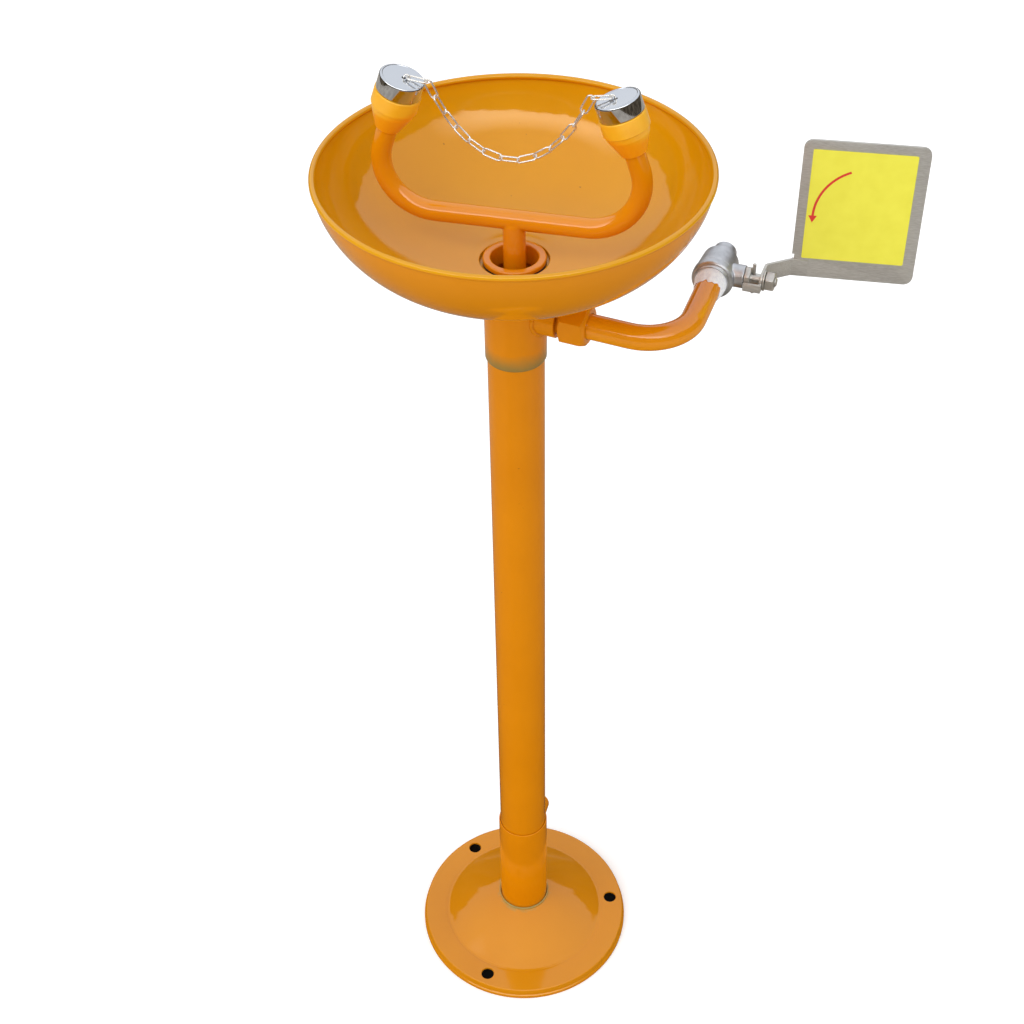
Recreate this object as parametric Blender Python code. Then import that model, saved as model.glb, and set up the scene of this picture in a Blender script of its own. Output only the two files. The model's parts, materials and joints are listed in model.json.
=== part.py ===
"""A free-standing eyewash station: pedestal, bowl, two-headed spray yoke and push-plate valve.

Metres, +Z up. The origin is on the floor, on the axis of the column. The spray yoke lies
about along X, the supply arm leaves to the right (+X) and the valve points back (+Y).
"""
import math

import bmesh
import bpy
from mathutils import Matrix, Vector

# Clearance left between two pieces that touch
GAP = 0.0003

# Floor flange
BASE_R = 0.1008
BASE_EDGE = 0.0064
BASE_FLAT = 0.0255
BASE_NECK_Z = 0.0385
BASE_NECK_LIP = 0.0025
BASE_WALL = 0.003
BASE_BULGE = 0.18
BOLT_HOLE_D = 0.012
BOLT_EDGE = 0.0136
BOLT_COUNT = 3
BOLT_START = math.radians(21.7)

# Column, the sleeves on its two ends, and the waste outlet
COLUMN_D = 0.0424
COLUMN_WALL = 0.002
SLEEVE_WALL = 0.0012
END_PLATE = 0.004
SOCKET_TOP_Z = 0.1507
COLUMN_FOOT_Z = 0.060
COLLAR_FOOT_Z = 0.6912
COLUMN_IN_COLLAR = 0.020
OUTLET_Z = 0.124
OUTLET_D = 0.028
OUTLET_WALL = 0.003
OUTLET_LENGTH = 0.0213

# Bowl and its waste fitting
BOWL_RISE = 0.0804
BOWL_DEPTH = 0.0750
RIM_R = 0.1372
RIM_BEAD = 0.0022
BOWL_WALL = 0.0015
BOWL_SPREAD = 3.3
BOWL_ROUND = 1.56
RECESS_DEPTH = 0.003
RECESS_PLAY = 0.0022
DRAIN_PLAY = 0.0020
DRAIN_WALL = 0.0024
DRAIN_LIP = 0.0030
DRAIN_FLANGE = 0.0035
DRAIN_SPIGOT = 0.012
GASKET = 0.0015

# Riser and spray yoke
ARM_RISE = 0.0400
RISER_D = 0.016
RISER_BORE = 0.0115
RISER_BEND = 0.020
RISER_SADDLE = 0.0035
YOKE_RISE = 0.0329
YOKE_D = 0.0143
YOKE_WALL = 0.00175
YOKE_BEND = 0.0367
YOKE_TURN = math.radians(2.5)
YOKE_OFFSET = -0.0025
HEAD_X = 0.0713
HEAD_RISE = 0.0982
HEAD_TILT = math.radians(19.0)

# Spray heads and their dust caps, measured down from the top of the cap
CAP_WALL = 0.0020
CAP_H = 0.0110
CAP_TOP = 0.0015
CAP_ROUND = 0.0014
NECK_WALL = 0.00165
NECK_TOP = 0.0035
HEAD_LEDGE = 0.0005
HEAD_BAND = 0.011
HEAD_STEP = 0.0006
HEAD_CONE = 0.015
HEAD_LIP = 0.00135
CHAMBER_R = 0.0108
CHAMBER_DEPTH = 0.0107
TUBE_LEDGE = 0.004
PLATE_T = 0.0015
SPRAY_HOLE_D = 0.0019
SPRAY_RINGS = ((1, 0.0), (6, 0.0065))
REGULATOR_T = 0.0025
REGULATOR_BORE = 0.006

# Cap staple and chain
STAPLE_OFFSET = 0.0028
STAPLE_SPREAD = 0.0019
STAPLE_WIRE = 0.0012
STAPLE_RISE = 0.0007
STAPLE_TAIL = 0.0028
LINK_LENGTH = 0.0150
LINK_WIDTH = 0.0056
LINK_WIRE = 0.0012
LINK_PLAY = 0.0004
LINK_COUNT = 15
END_LINK_RISE = math.radians(11.0)
CHAIN_TWIST = math.radians(28.0)

# Supply arm
ARM_SWING = math.radians(7.4)
PIPE_D = 0.0184
PIPE_WALL = 0.0022
PIPE_BEND = 0.0348
PIPE_OUT = 0.0296
PIPE_TURN = math.radians(94.0)
PIPE_STRAIGHT = 0.0504
PIPE_IN_ADAPTER = 0.016
PIPE_IN_VALVE = 0.005
COUPLING_WALL = 0.0033
COUPLING_LENGTH = 0.0118
SPIGOT_R = 0.0100
SPIGOT_BORE = 0.0065
HEX_SPACE = 0.0025
HEX_FLATS = 0.0290
HEX_LENGTH = 0.0205
HEX_FACE_R = 0.0127
HEX_CHAMFER = 0.0030
TAPE_LENGTH = 0.0125
TAPE_THIN = 0.0038
TAPE_T = 0.0009
TAPE_EDGE_T = 0.0003

# Ball valve, measured back along its own axis from the stem's axis
BALL_R = 0.0072
BALL_BORE = 0.0086
BALL_PLAY = 0.0006
SEAT_BORE = 0.0094
SEAT_PLAY = 0.00035
VALVE_WEB = 0.0014
VALVE_SCREW = 0.0016
VALVE_WALL = 0.0027
VALVE_TAPER = 0.0026
VALVE_BAND_T = 0.0006
VALVE_BAND = 0.0070
VALVE_STEP = 0.0215
VALVE_END = 0.0290
VALVE_END_T = 0.0009
PORT_R = 0.0080
PORT_DEPTH = 0.0120

# Valve stem: its boss stands out of the body, and the rest follows from the boss's end
STEM_R = 0.0040
STEM_STEP = 0.0006
STEM_REACH = 0.0115
STEM_TIP = 0.0121
TANG_T = 0.0024
TANG_W = 0.0056
TANG_WALL = 0.0005
BOSS_R = 0.0085
BOSS_RISE = 0.0070
PACKING_T = 0.0018
PACKING_DEPTH = 0.0055
PACKING_LENGTH = 0.0030
GLAND_FLATS = 0.0150
GLAND_HEX = 0.0042
PIN_R = 0.00125
PIN_REACH = 0.0062
PIN_OVER = 0.0021
LUG_PLAY = 0.00034
LUG_T = 0.0014
LUG_OVER = 0.0014
WASHER_R = 0.0078
WASHER_T = 0.0012
NUT_FLATS = 0.013
NUT_T = 0.0065

# Push handle, one bent strip of sheet
SHEET = 0.002
STRIP_H = 0.0135
TAB_FRONT = 0.0075
TAB_BACK = 0.0110
TAB_ROUND = 0.0057
FOLD_OUT = 0.0178
FOLD_Y = 0.0243
BEND_R = 0.0035
PLATE_W = 0.0878
PLATE_H = 0.1058
PLATE_CORNER = 0.0065
PLATE_YAW = math.radians(9.4)
PLATE_LEAN = math.radians(6.3)
RELIEF_W = 0.0016
RELIEF_H = 0.0040
LABEL_LEFT = 0.0060
LABEL_RIGHT = 0.0086
LABEL_FOOT = 0.0150
LABEL_HEAD = 0.0066
LABEL_T = 0.0003

# Facets round a full turn
FINE = 36
ROUND = 24
SMALL = 18
PIPE_SIDES = 16
RISER_SIDES = 14
TINY = 12
WIRE_SIDES = 6

# Steps along a curve
BOWL_STEPS = 9
BALL_STEPS = 10
BEND_STEPS = 8
ARC_STEPS = 6
CORNER_STEPS = 4
DOME_STEPS = 3

SHARP_ANGLE = math.radians(35.0)

# Finishes: colour as sRGB hex, metallic, roughness
ORANGE_PAINT = ("D9820B", 0.0, 0.3)
YELLOW_PLASTIC = ("F5B32B", 0.0, 0.4)
CHROME = ("C9CDD6", 1.0, 0.12)
STEEL = ("A5A29C", 1.0, 0.42)
SHEET_STEEL = ("8F8B83", 1.0, 0.35)
RUBBER = ("262524", 0.0, 0.7)
SEAL = ("ECEAE6", 0.0, 0.45)
LABEL_YELLOW = ("E5DE3C", 0.0, 0.5)

# Heights, each from the one below it
COLUMN_TOP_Z = COLLAR_FOOT_Z + COLUMN_IN_COLLAR
ARM_Z = COLLAR_FOOT_Z + ARM_RISE
BOWL_FLOOR_Z = COLLAR_FOOT_Z + BOWL_RISE
RIM_Z = BOWL_FLOOR_Z + BOWL_DEPTH
YOKE_Z = BOWL_FLOOR_Z + YOKE_RISE
RECESS_FLOOR_Z = BOWL_FLOOR_Z - RECESS_DEPTH
COLLAR_TOP_Z = RECESS_FLOOR_Z - GAP

# Radii of the stand, from the floor flange in, and from the column out
BASE_CREASE_R = BASE_R - BASE_FLAT
BOLT_CIRCLE_R = BASE_R - BOLT_EDGE
COLUMN_R = COLUMN_D / 2
SLEEVE_BORE_R = COLUMN_R + GAP
SLEEVE_R = SLEEVE_BORE_R + SLEEVE_WALL
OUTLET_R = OUTLET_D / 2
OUTLET_BORE_R = OUTLET_R - OUTLET_WALL
OUTLET_REACH = SLEEVE_R + OUTLET_LENGTH
DRAIN_HOLE_R = SLEEVE_BORE_R - DRAIN_PLAY
DRAIN_FLANGE_R = DRAIN_HOLE_R + DRAIN_LIP
RECESS_R = DRAIN_FLANGE_R + RECESS_PLAY

# Tubes, and the heads and caps that fit round them
RISER_R = RISER_D / 2
YOKE_R = YOKE_D / 2
YOKE_BORE_R = YOKE_R - YOKE_WALL
PIPE_R = PIPE_D / 2
PLATE_SEAT_R = CHAMBER_R + PLATE_T / 2
NECK_R = PLATE_SEAT_R + NECK_WALL
CAP_BORE_R = NECK_R + GAP
CAP_R = CAP_BORE_R + CAP_WALL
HEAD_R = CAP_R + HEAD_LEDGE
SHOULDER = CAP_H + GAP
BAND_FOOT = SHOULDER + HEAD_BAND
HEAD_FOOT = BAND_FOOT + HEAD_CONE
CHAMBER_FLOOR = SHOULDER + CHAMBER_DEPTH
TUBE_STOP = CHAMBER_FLOOR + TUBE_LEDGE

# Chain
LINK_REACH = (LINK_LENGTH - LINK_WIRE) / 2
LINK_PITCH = LINK_LENGTH - 2 * LINK_WIRE - LINK_PLAY
HOOK = (LINK_WIRE + LINK_PLAY) / 2

# Supply arm, out from the column's axis
COUPLING_R = SPIGOT_R + GAP + COUPLING_WALL
COUPLING_END = SLEEVE_R + COUPLING_LENGTH
RISER_END = SLEEVE_R + 2 * SLEEVE_WALL
HEX_START = COUPLING_END + HEX_SPACE
HEX_END = HEX_START + HEX_LENGTH
PIPE_RUN = HEX_END + PIPE_OUT

# Valve, from the ball out
SEAT_R = BALL_R + SEAT_PLAY
CAVITY_R = BALL_R + BALL_PLAY
SEAT_BACK = math.sqrt(SEAT_R ** 2 - (SEAT_BORE / 2) ** 2) + GAP
VALVE_FACE = SEAT_BACK + GAP + VALVE_WEB + PIPE_IN_VALVE + GAP
VALVE_SCREW_R = CAVITY_R + VALVE_SCREW
VALVE_END_R = VALVE_SCREW_R + VALVE_END_T
VALVE_BORE_R = VALVE_SCREW_R + GAP
VALVE_TAPER_R = VALVE_BORE_R + VALVE_WALL
VALVE_R = VALVE_TAPER_R + VALVE_TAPER
VALVE_BAND_R = VALVE_R + VALVE_BAND_T
BOSS_END = VALVE_R + BOSS_RISE
PACKING_START = BOSS_END - PACKING_DEPTH
PACKING_R = STEM_R + PACKING_T
STEM_TIP_R = STEM_R - STEM_STEP
STEM_SHOULDER = BOSS_END + STEM_REACH
STEM_END = STEM_SHOULDER + STEM_TIP
PIN_X = BOSS_END + PIN_REACH
LUG_IN_R = GLAND_FLATS / math.sqrt(3) + LUG_PLAY
LUG_OUT_R = LUG_IN_R + LUG_T
LUG_END = PIN_X + LUG_OVER
PIN_LENGTH = 2 * (LUG_OUT_R + PIN_OVER)
FOLD_X = STEM_SHOULDER + FOLD_OUT


for old in list(bpy.data.objects):
    bpy.data.objects.remove(old, do_unlink=True)


def linear(hex_colour):
    """An sRGB hex colour as linear red, green and blue."""
    shares = [int(hex_colour[i:i + 2], 16) / 255 for i in (0, 2, 4)]
    return [c / 12.92 if c <= 0.04045 else ((c + 0.055) / 1.055) ** 2.4 for c in shares]


def material(name, finish):
    """A Principled material in one of the finishes."""
    colour, metallic, roughness = finish
    made = bpy.data.materials.new(name + "_finish")
    made.use_nodes = True
    shader = made.node_tree.nodes["Principled BSDF"]
    shader.inputs["Base Color"].default_value = (*linear(colour), 1.0)
    shader.inputs["Metallic"].default_value = metallic
    shader.inputs["Roughness"].default_value = roughness
    made.diffuse_color = (*linear(colour), 1.0)
    return made


def empty(name, location, turn=(0.0, 0.0, 0.0), parent=None):
    """A frame that carries pieces: an empty at a place and a turn."""
    made = bpy.data.objects.new(name, None)
    made.empty_display_size = 0.02
    made.location = location
    made.rotation_euler = turn
    made.parent = parent
    bpy.context.scene.collection.objects.link(made)
    return made


def piece(name, mesh, finish, parent=None):
    """One named sub-part with its own material."""
    made = bpy.data.objects.new(name, mesh)
    made.parent = parent
    bpy.context.scene.collection.objects.link(made)
    if not mesh.materials:
        mesh.materials.append(material(name, finish))
    mesh.shade_smooth()
    mesh.set_sharp_from_angle(angle=SHARP_ANGLE)
    return made


def tool(name, mesh, parent=None):
    """A shape that only cuts into, or adds to, another piece."""
    made = bpy.data.objects.new(name, mesh)
    made.parent = parent
    made.hide_render = True
    made.display_type = "WIRE"
    bpy.context.scene.collection.objects.link(made)
    return made


def combine(target, other, operation):
    """Add a Boolean step to a piece: DIFFERENCE cuts, UNION adds."""
    step = target.modifiers.new(other.name, "BOOLEAN")
    step.operation = operation
    step.object = other
    step.solver = "EXACT"


def closed_mesh(name, shape):
    """Turn a bmesh into a mesh whose faces all point outwards."""
    bmesh.ops.remove_doubles(shape, verts=shape.verts, dist=1e-6)
    bmesh.ops.recalc_face_normals(shape, faces=shape.faces)
    mesh = bpy.data.meshes.new(name)
    shape.to_mesh(mesh)
    shape.free()
    return mesh


AXIS_TURN = {
    "X": Matrix.Rotation(math.pi / 2, 4, "Y"),
    "Y": Matrix.Rotation(-math.pi / 2, 4, "X"),
    "Z": Matrix.Identity(4),
}


def turned(name, profile, steps, axis="Z"):
    """Turn an outline of (radius, distance along the axis) points round an axis.

    An outline that starts and ends on the axis is left open there.
    """
    shape = bmesh.new()
    verts = [shape.verts.new((radius, 0.0, along)) for radius, along in profile]
    pairs = list(zip(verts, verts[1:]))
    if profile[0][0] > 0.0 or profile[-1][0] > 0.0:
        pairs.append((verts[-1], verts[0]))
    edges = [shape.edges.new(pair) for pair in pairs]
    bmesh.ops.spin(
        shape, geom=verts + edges, cent=(0, 0, 0), axis=(0, 0, 1),
        angle=2 * math.pi, steps=steps, use_merge=True,
    )
    bmesh.ops.transform(shape, matrix=AXIS_TURN[axis], verts=shape.verts)
    return closed_mesh(name, shape)


def rod(name, radius, start, end, steps, axis="Z"):
    """A plain round bar along an axis."""
    return turned(name, [(0, end), (radius, end), (radius, start), (0, start)], steps, axis)


def ring(name, outer, inner, start, end, steps, axis="Z"):
    """A plain round sleeve along an axis."""
    return turned(name, [(inner, end), (outer, end), (outer, start), (inner, start)], steps, axis)


def prism(name, outline, start, end, axis="Z"):
    """Extrude a flat outline along an axis."""
    shape = bmesh.new()
    face = shape.faces.new([shape.verts.new((a, b, start)) for a, b in outline])
    swept = bmesh.ops.extrude_face_region(shape, geom=[face])
    top = [v for v in swept["geom"] if isinstance(v, bmesh.types.BMVert)]
    bmesh.ops.translate(shape, vec=(0, 0, end - start), verts=top)
    bmesh.ops.transform(shape, matrix=AXIS_TURN[axis], verts=shape.verts)
    return closed_mesh(name, shape)


def hexagon(flats, turn=0.0):
    """Corners of a hexagon from its size across the flats."""
    reach = flats / math.sqrt(3)
    angles = [turn + math.radians(60 * i) for i in range(6)]
    return [(reach * math.cos(a), reach * math.sin(a)) for a in angles]


def box(name, low, high):
    """A block between two corners."""
    outline = [(low[0], low[1]), (high[0], low[1]), (high[0], high[1]), (low[0], high[1])]
    return prism(name, outline, low[2], high[2])


def bridge(shape, first, second):
    """Join two rings of corners with a band of faces."""
    for i in range(len(first)):
        j = (i + 1) % len(first)
        shape.faces.new((first[i], first[j], second[j], second[i]))


def sweep(name, path, radii, sides):
    """Sweep a round section along a path: one radius makes a wire, two make a pipe's wall."""
    points = [Vector(p) for p in path]
    runs = [(b - a).normalized() for a, b in zip(points, points[1:])]
    ways = [runs[0]] + [(a + b).normalized() for a, b in zip(runs, runs[1:])] + [runs[-1]]
    side = ways[0].orthogonal().normalized()
    turns = [2 * math.pi * i / sides for i in range(sides)]
    shape = bmesh.new()
    walls = [[] for _ in radii]
    for point, way in zip(points, ways):
        side = (side - way * side.dot(way)).normalized()
        across = way.cross(side)
        spokes = [side * math.cos(t) + across * math.sin(t) for t in turns]
        for radius, rings in zip(radii, walls):
            rings.append([shape.verts.new(point + spoke * radius) for spoke in spokes])
    for rings in walls:
        for first, second in zip(rings, rings[1:]):
            bridge(shape, first, second)
    for end in (0, -1):
        if len(walls) == 1:
            shape.faces.new(walls[0][end])
        else:
            bridge(shape, walls[0][end], walls[1][end])
    return closed_mesh(name, shape)


def arc(centre, radius, start, end, steps):
    """Points on an arc, both ends included."""
    angles = [start + (end - start) * i / steps for i in range(steps + 1)]
    return [(centre[0] + radius * math.cos(a), centre[1] + radius * math.sin(a)) for a in angles]


# Floor flange, socket and column

def base_profile():
    """Section of the pressed flange: neck, domed top, flat rim and hollow underside."""
    bore = SLEEVE_R + GAP
    neck = bore + SLEEVE_WALL
    foot = BASE_NECK_Z - BASE_NECK_LIP
    edge = BASE_EDGE / 4

    def dome(radius):
        share = (BASE_CREASE_R - radius) / (BASE_CREASE_R - neck)
        return BASE_EDGE + (foot - BASE_EDGE) * share * (1 + BASE_BULGE * (1 - share))

    slope = [neck + (BASE_CREASE_R - neck) * i / DOME_STEPS for i in range(DOME_STEPS + 1)]
    top = [(bore, BASE_NECK_Z), (neck, BASE_NECK_Z)] + [(r, dome(r)) for r in slope]
    rim = [(BASE_R - edge, BASE_EDGE), (BASE_R, BASE_EDGE - edge), (BASE_R, 0.0)]
    under = [(r, max(dome(r) - BASE_WALL, 0.0)) for r in reversed(slope[1:-1])]
    return top + rim + [(BASE_CREASE_R, 0.0)] + under + [(bore, foot - BASE_WALL)]


flange = piece("base_flange", turned("base_flange", base_profile(), FINE), ORANGE_PAINT)
for number in range(BOLT_COUNT):
    angle = BOLT_START + 2 * math.pi * number / BOLT_COUNT
    drill = rod("bolt_hole", BOLT_HOLE_D / 2, -GAP, 2 * BASE_EDGE, TINY)
    hole = tool("bolt_hole_%d" % (number + 1), drill)
    hole.location = (BOLT_CIRCLE_R * math.cos(angle), BOLT_CIRCLE_R * math.sin(angle), 0.0)
    combine(flange, hole, "DIFFERENCE")

piece("socket_end_plate", rod("socket_end_plate", SLEEVE_R, 0.0, END_PLATE, ROUND), ORANGE_PAINT)

outlet_axis = empty("outlet_axis", (0.0, 0.0, OUTLET_Z))
outlet_way = tool(
    "outlet_way", rod("outlet_way", OUTLET_BORE_R, 0.0, OUTLET_REACH, SMALL, "Y"), outlet_axis,
)

socket = piece(
    "base_socket",
    ring("base_socket", SLEEVE_R, SLEEVE_BORE_R, END_PLATE + GAP, SOCKET_TOP_Z, ROUND),
    ORANGE_PAINT,
)
combine(socket, outlet_way, "DIFFERENCE")

column = piece(
    "column_tube",
    ring("column_tube", COLUMN_R, COLUMN_R - COLUMN_WALL, COLUMN_FOOT_Z, COLUMN_TOP_Z, ROUND),
    ORANGE_PAINT,
)
combine(column, outlet_way, "DIFFERENCE")

outlet = piece(
    "drain_outlet",
    ring("drain_outlet", OUTLET_R, OUTLET_BORE_R, COLUMN_R / 2, OUTLET_REACH, SMALL, "Y"),
    ORANGE_PAINT, outlet_axis,
)
socket_space = tool("socket_space", rod("socket_space", SLEEVE_R + GAP, 0.0, SOCKET_TOP_Z, ROUND))
combine(outlet, socket_space, "DIFFERENCE")


# Bowl, its collar and its waste fitting

def bowl_wall(rim_radius, floor, top, end_radius):
    """Points of the dished wall, from its top edge in towards the middle."""
    points = []
    for i in range(BOWL_STEPS + 1):
        radius = rim_radius * math.cos(math.pi / 2 * i / BOWL_STEPS)
        if radius < end_radius:
            break
        share = 1 - (1 - (radius / rim_radius) ** BOWL_SPREAD) ** (1 / BOWL_ROUND)
        points.append((radius, floor + (top - floor) * share))
    return points


def bowl_profile():
    """Section of the bowl: rolled rim, dished wall and the recess for the waste ring."""
    wall = BOWL_WALL
    middle = RIM_R - RIM_BEAD
    outer_r = middle + wall / 2
    under_bead = math.asin(wall / 2 / RIM_BEAD)
    wall_top = RIM_Z - RIM_BEAD - RIM_BEAD * math.cos(under_bead)
    bead_angles = (1.5 * math.pi - under_bead, under_bead - 0.5 * math.pi)
    bead = arc((middle, RIM_Z - RIM_BEAD), RIM_BEAD, *bead_angles, ARC_STEPS)
    outside = bowl_wall(outer_r, BOWL_FLOOR_Z, wall_top, RECESS_R + 2 * wall)
    inside = bowl_wall(outer_r - wall, BOWL_FLOOR_Z + wall, wall_top, RECESS_R + wall)
    recess = [
        (RECESS_R + wall, outside[-1][1]), (RECESS_R + wall, RECESS_FLOOR_Z),
        (DRAIN_HOLE_R, RECESS_FLOOR_Z), (DRAIN_HOLE_R, RECESS_FLOOR_Z + wall),
        (RECESS_R, RECESS_FLOOR_Z + wall), (RECESS_R, inside[-1][1]),
    ]
    return bead + outside[1:] + recess + inside[:0:-1]


piece("bowl", turned("bowl", bowl_profile(), FINE), ORANGE_PAINT)

gasket_foot = RECESS_FLOOR_Z + BOWL_WALL + GAP
gasket_top = gasket_foot + GASKET
piece(
    "drain_gasket",
    ring("drain_gasket", DRAIN_FLANGE_R, DRAIN_HOLE_R, gasket_foot, gasket_top, ROUND),
    RUBBER,
)


def drain_profile():
    """Section of the waste ring: a rounded flange with a spigot through the bowl."""
    foot = gasket_top + GAP
    top = foot + DRAIN_FLANGE
    spigot = DRAIN_HOLE_R - GAP
    bore = spigot - DRAIN_WALL
    soft = DRAIN_FLANGE / 3
    return [
        (bore, top - soft), (bore + soft, top),
        (DRAIN_FLANGE_R - soft, top), (DRAIN_FLANGE_R, top - soft), (DRAIN_FLANGE_R, foot),
        (spigot, foot), (spigot, foot - DRAIN_SPIGOT), (bore, foot - DRAIN_SPIGOT),
    ]


piece("drain_ring", turned("drain_ring", drain_profile(), ROUND), ORANGE_PAINT)

arm_axis = empty("arm_axis", (0.0, 0.0, ARM_Z), (0.0, 0.0, -ARM_SWING))
collar_chamfer = SLEEVE_WALL / 2
collar = piece(
    "bowl_collar",
    turned("bowl_collar", [
        (SLEEVE_BORE_R, COLLAR_TOP_Z), (SLEEVE_R, COLLAR_TOP_Z),
        (SLEEVE_R, COLLAR_FOOT_Z + collar_chamfer), (SLEEVE_R - collar_chamfer, COLLAR_FOOT_Z),
        (SLEEVE_BORE_R, COLLAR_FOOT_Z),
    ], ROUND),
    ORANGE_PAINT,
)
inlet_way = tool("inlet_way", rod("inlet_way", RISER_R + GAP, 0.0, COUPLING_END, SMALL, "X"), arm_axis)
combine(collar, inlet_way, "DIFFERENCE")


# Riser and spray yoke

yoke_middle = empty("yoke_middle", (0.0, 0.0, YOKE_Z), (0.0, 0.0, YOKE_TURN))


def riser_path():
    """From the coupling in the collar's wall, round an elbow and up to the bar of the yoke."""
    elbow = arc((RISER_BEND, RISER_BEND), RISER_BEND, 1.5 * math.pi, math.pi, ARC_STEPS)
    top = YOKE_Z - RISER_SADDLE - ARM_Z
    return [(RISER_END, 0, 0)] + [(x, 0, z) for x, z in elbow] + [(0, 0, top)]


riser = piece(
    "riser_pipe", sweep("riser_pipe", riser_path(), (RISER_R, RISER_BORE / 2), RISER_SIDES),
    ORANGE_PAINT, arm_axis,
)
bar_space = tool("bar_space", rod("bar_space", YOKE_R + GAP, -HEAD_X, HEAD_X, SMALL, "X"), yoke_middle)
combine(riser, bar_space, "DIFFERENCE")


def yoke_half():
    """One half of the yoke from the middle of its bar to the tube's end inside the head."""
    tilt_cos = math.cos(HEAD_TILT)
    tilt_sin = math.sin(HEAD_TILT)
    across = (tilt_cos * HEAD_X + tilt_sin * (HEAD_RISE - YOKE_BEND) - YOKE_BEND) / tilt_cos
    bend = arc((across, YOKE_BEND), YOKE_BEND, -math.pi / 2, HEAD_TILT, BEND_STEPS)
    end = (HEAD_X + TUBE_STOP * tilt_sin, HEAD_RISE - TUBE_STOP * tilt_cos)
    return bend + [end]


half = yoke_half()
left_half = [(YOKE_OFFSET - x, 0, z) for x, z in reversed(half)]
right_half = [(YOKE_OFFSET + x, 0, z) for x, z in half]
yoke = piece(
    "yoke_tube", sweep("yoke_tube", left_half + right_half, (YOKE_R, YOKE_BORE_R), TINY),
    ORANGE_PAINT, yoke_middle,
)
tee_way = tool("tee_way", rod("tee_way", RISER_BORE / 2, -YOKE_D, 0.0, TINY), yoke_middle)
combine(yoke, tee_way, "DIFFERENCE")


# Spray heads, dust caps and staples, each in a frame at the top of its cap

def head_frame(side, sign):
    """A frame at a cap's top: +Z up the head's axis, +X in to the middle of the yoke."""
    made = empty("head_" + side, (YOKE_OFFSET + sign * HEAD_X, 0.0, HEAD_RISE), parent=yoke_middle)
    lean = Matrix.Rotation(-sign * HEAD_TILT, 3, "Y")
    face_in = Matrix.Rotation(math.pi if sign > 0 else 0.0, 3, "Z")
    made.rotation_euler = (lean @ face_in).to_euler()
    return made


def head_profile():
    """Section of a spray head: neck, band, cone, tube socket and chamber."""
    tube_bore = YOKE_R + GAP
    tube_top = GAP - TUBE_STOP
    seat = NECK_TOP + PLATE_T + 2 * GAP
    return [
        (PLATE_SEAT_R, -NECK_TOP), (NECK_R, -NECK_TOP), (NECK_R, -SHOULDER),
        (HEAD_R - HEAD_STEP, -SHOULDER), (HEAD_R, -SHOULDER - HEAD_STEP), (HEAD_R, -BAND_FOOT),
        (HEAD_R - HEAD_STEP, -BAND_FOOT - HEAD_STEP),
        (HEAD_R - 2 * HEAD_STEP, -BAND_FOOT - HEAD_CONE / 4),
        (tube_bore + HEAD_LIP, -HEAD_FOOT), (tube_bore, -HEAD_FOOT), (tube_bore, tube_top),
        (YOKE_BORE_R, tube_top), (YOKE_BORE_R, -CHAMBER_FLOOR), (CHAMBER_R, -CHAMBER_FLOOR),
        (CHAMBER_R, -seat), (PLATE_SEAT_R, -seat),
    ]


def cap_profile():
    """Section of a dust cap: a shallow cup with a rounded top edge."""
    edge = arc((CAP_R - CAP_ROUND, -CAP_ROUND), CAP_ROUND, math.pi / 2, 0.0, CORNER_STEPS)
    mouth = [(CAP_R, -CAP_H), (CAP_BORE_R, -CAP_H), (CAP_BORE_R, -CAP_TOP), (0.0, -CAP_TOP)]
    return [(0.0, 0.0)] + edge + mouth


def staple_path():
    """A wire arch that stands in two holes of the cap's top."""
    arch = arc((STAPLE_OFFSET, STAPLE_RISE), STAPLE_SPREAD, math.pi, 0.0, ARC_STEPS)
    first = (STAPLE_OFFSET - STAPLE_SPREAD, -STAPLE_TAIL)
    last = (STAPLE_OFFSET + STAPLE_SPREAD, -STAPLE_TAIL)
    return [(x, 0, z) for x, z in [first] + arch + [last]]


def spray_plate(name, frame):
    """A perforated disc in the mouth of a head."""
    top = -NECK_TOP - GAP
    disc = rod(name, PLATE_SEAT_R - GAP, top - PLATE_T, top, SMALL)
    plate = piece(name, disc, YELLOW_PLASTIC, frame)
    for count, radius in SPRAY_RINGS:
        for i in range(count):
            angle = 2 * math.pi * i / count
            drill = rod("jet", SPRAY_HOLE_D / 2, top - 2 * PLATE_T, top + PLATE_T, WIRE_SIDES)
            jet = tool(name + "_jet", drill, frame)
            jet.location = (radius * math.cos(angle), radius * math.sin(angle), 0.0)
            combine(plate, jet, "DIFFERENCE")


def spray_head(side, sign):
    """One head with its regulator, spray plate, dust cap and staple."""
    frame = head_frame(side, sign)
    piece("spray_head_" + side, turned("spray_head", head_profile(), SMALL), YELLOW_PLASTIC, frame)
    spray_plate("spray_plate_" + side, frame)
    floor = -CHAMBER_FLOOR + GAP
    piece(
        "flow_regulator_" + side,
        ring("flow_regulator", CHAMBER_R - GAP, REGULATOR_BORE / 2, floor, floor + REGULATOR_T, SMALL),
        SEAL, frame,
    )
    cap = piece("dust_cap_" + side, turned("dust_cap", cap_profile(), ROUND), CHROME, frame)
    for place in (-STAPLE_SPREAD, STAPLE_SPREAD):
        drill = rod("staple_hole", STAPLE_WIRE / 2 + GAP, -2 * CAP_TOP, CAP_TOP, TINY)
        hole = tool("staple_hole_" + side, drill, frame)
        hole.location = (STAPLE_OFFSET + place, 0.0, 0.0)
        combine(cap, hole, "DIFFERENCE")
    staple = sweep("cap_staple", staple_path(), (STAPLE_WIRE / 2,), WIRE_SIDES)
    piece("cap_staple_" + side, staple, CHROME, frame)
    return frame


heads = {side: spray_head(side, sign) for side, sign in (("left", -1), ("right", 1))}


# Chain between the caps

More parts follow.
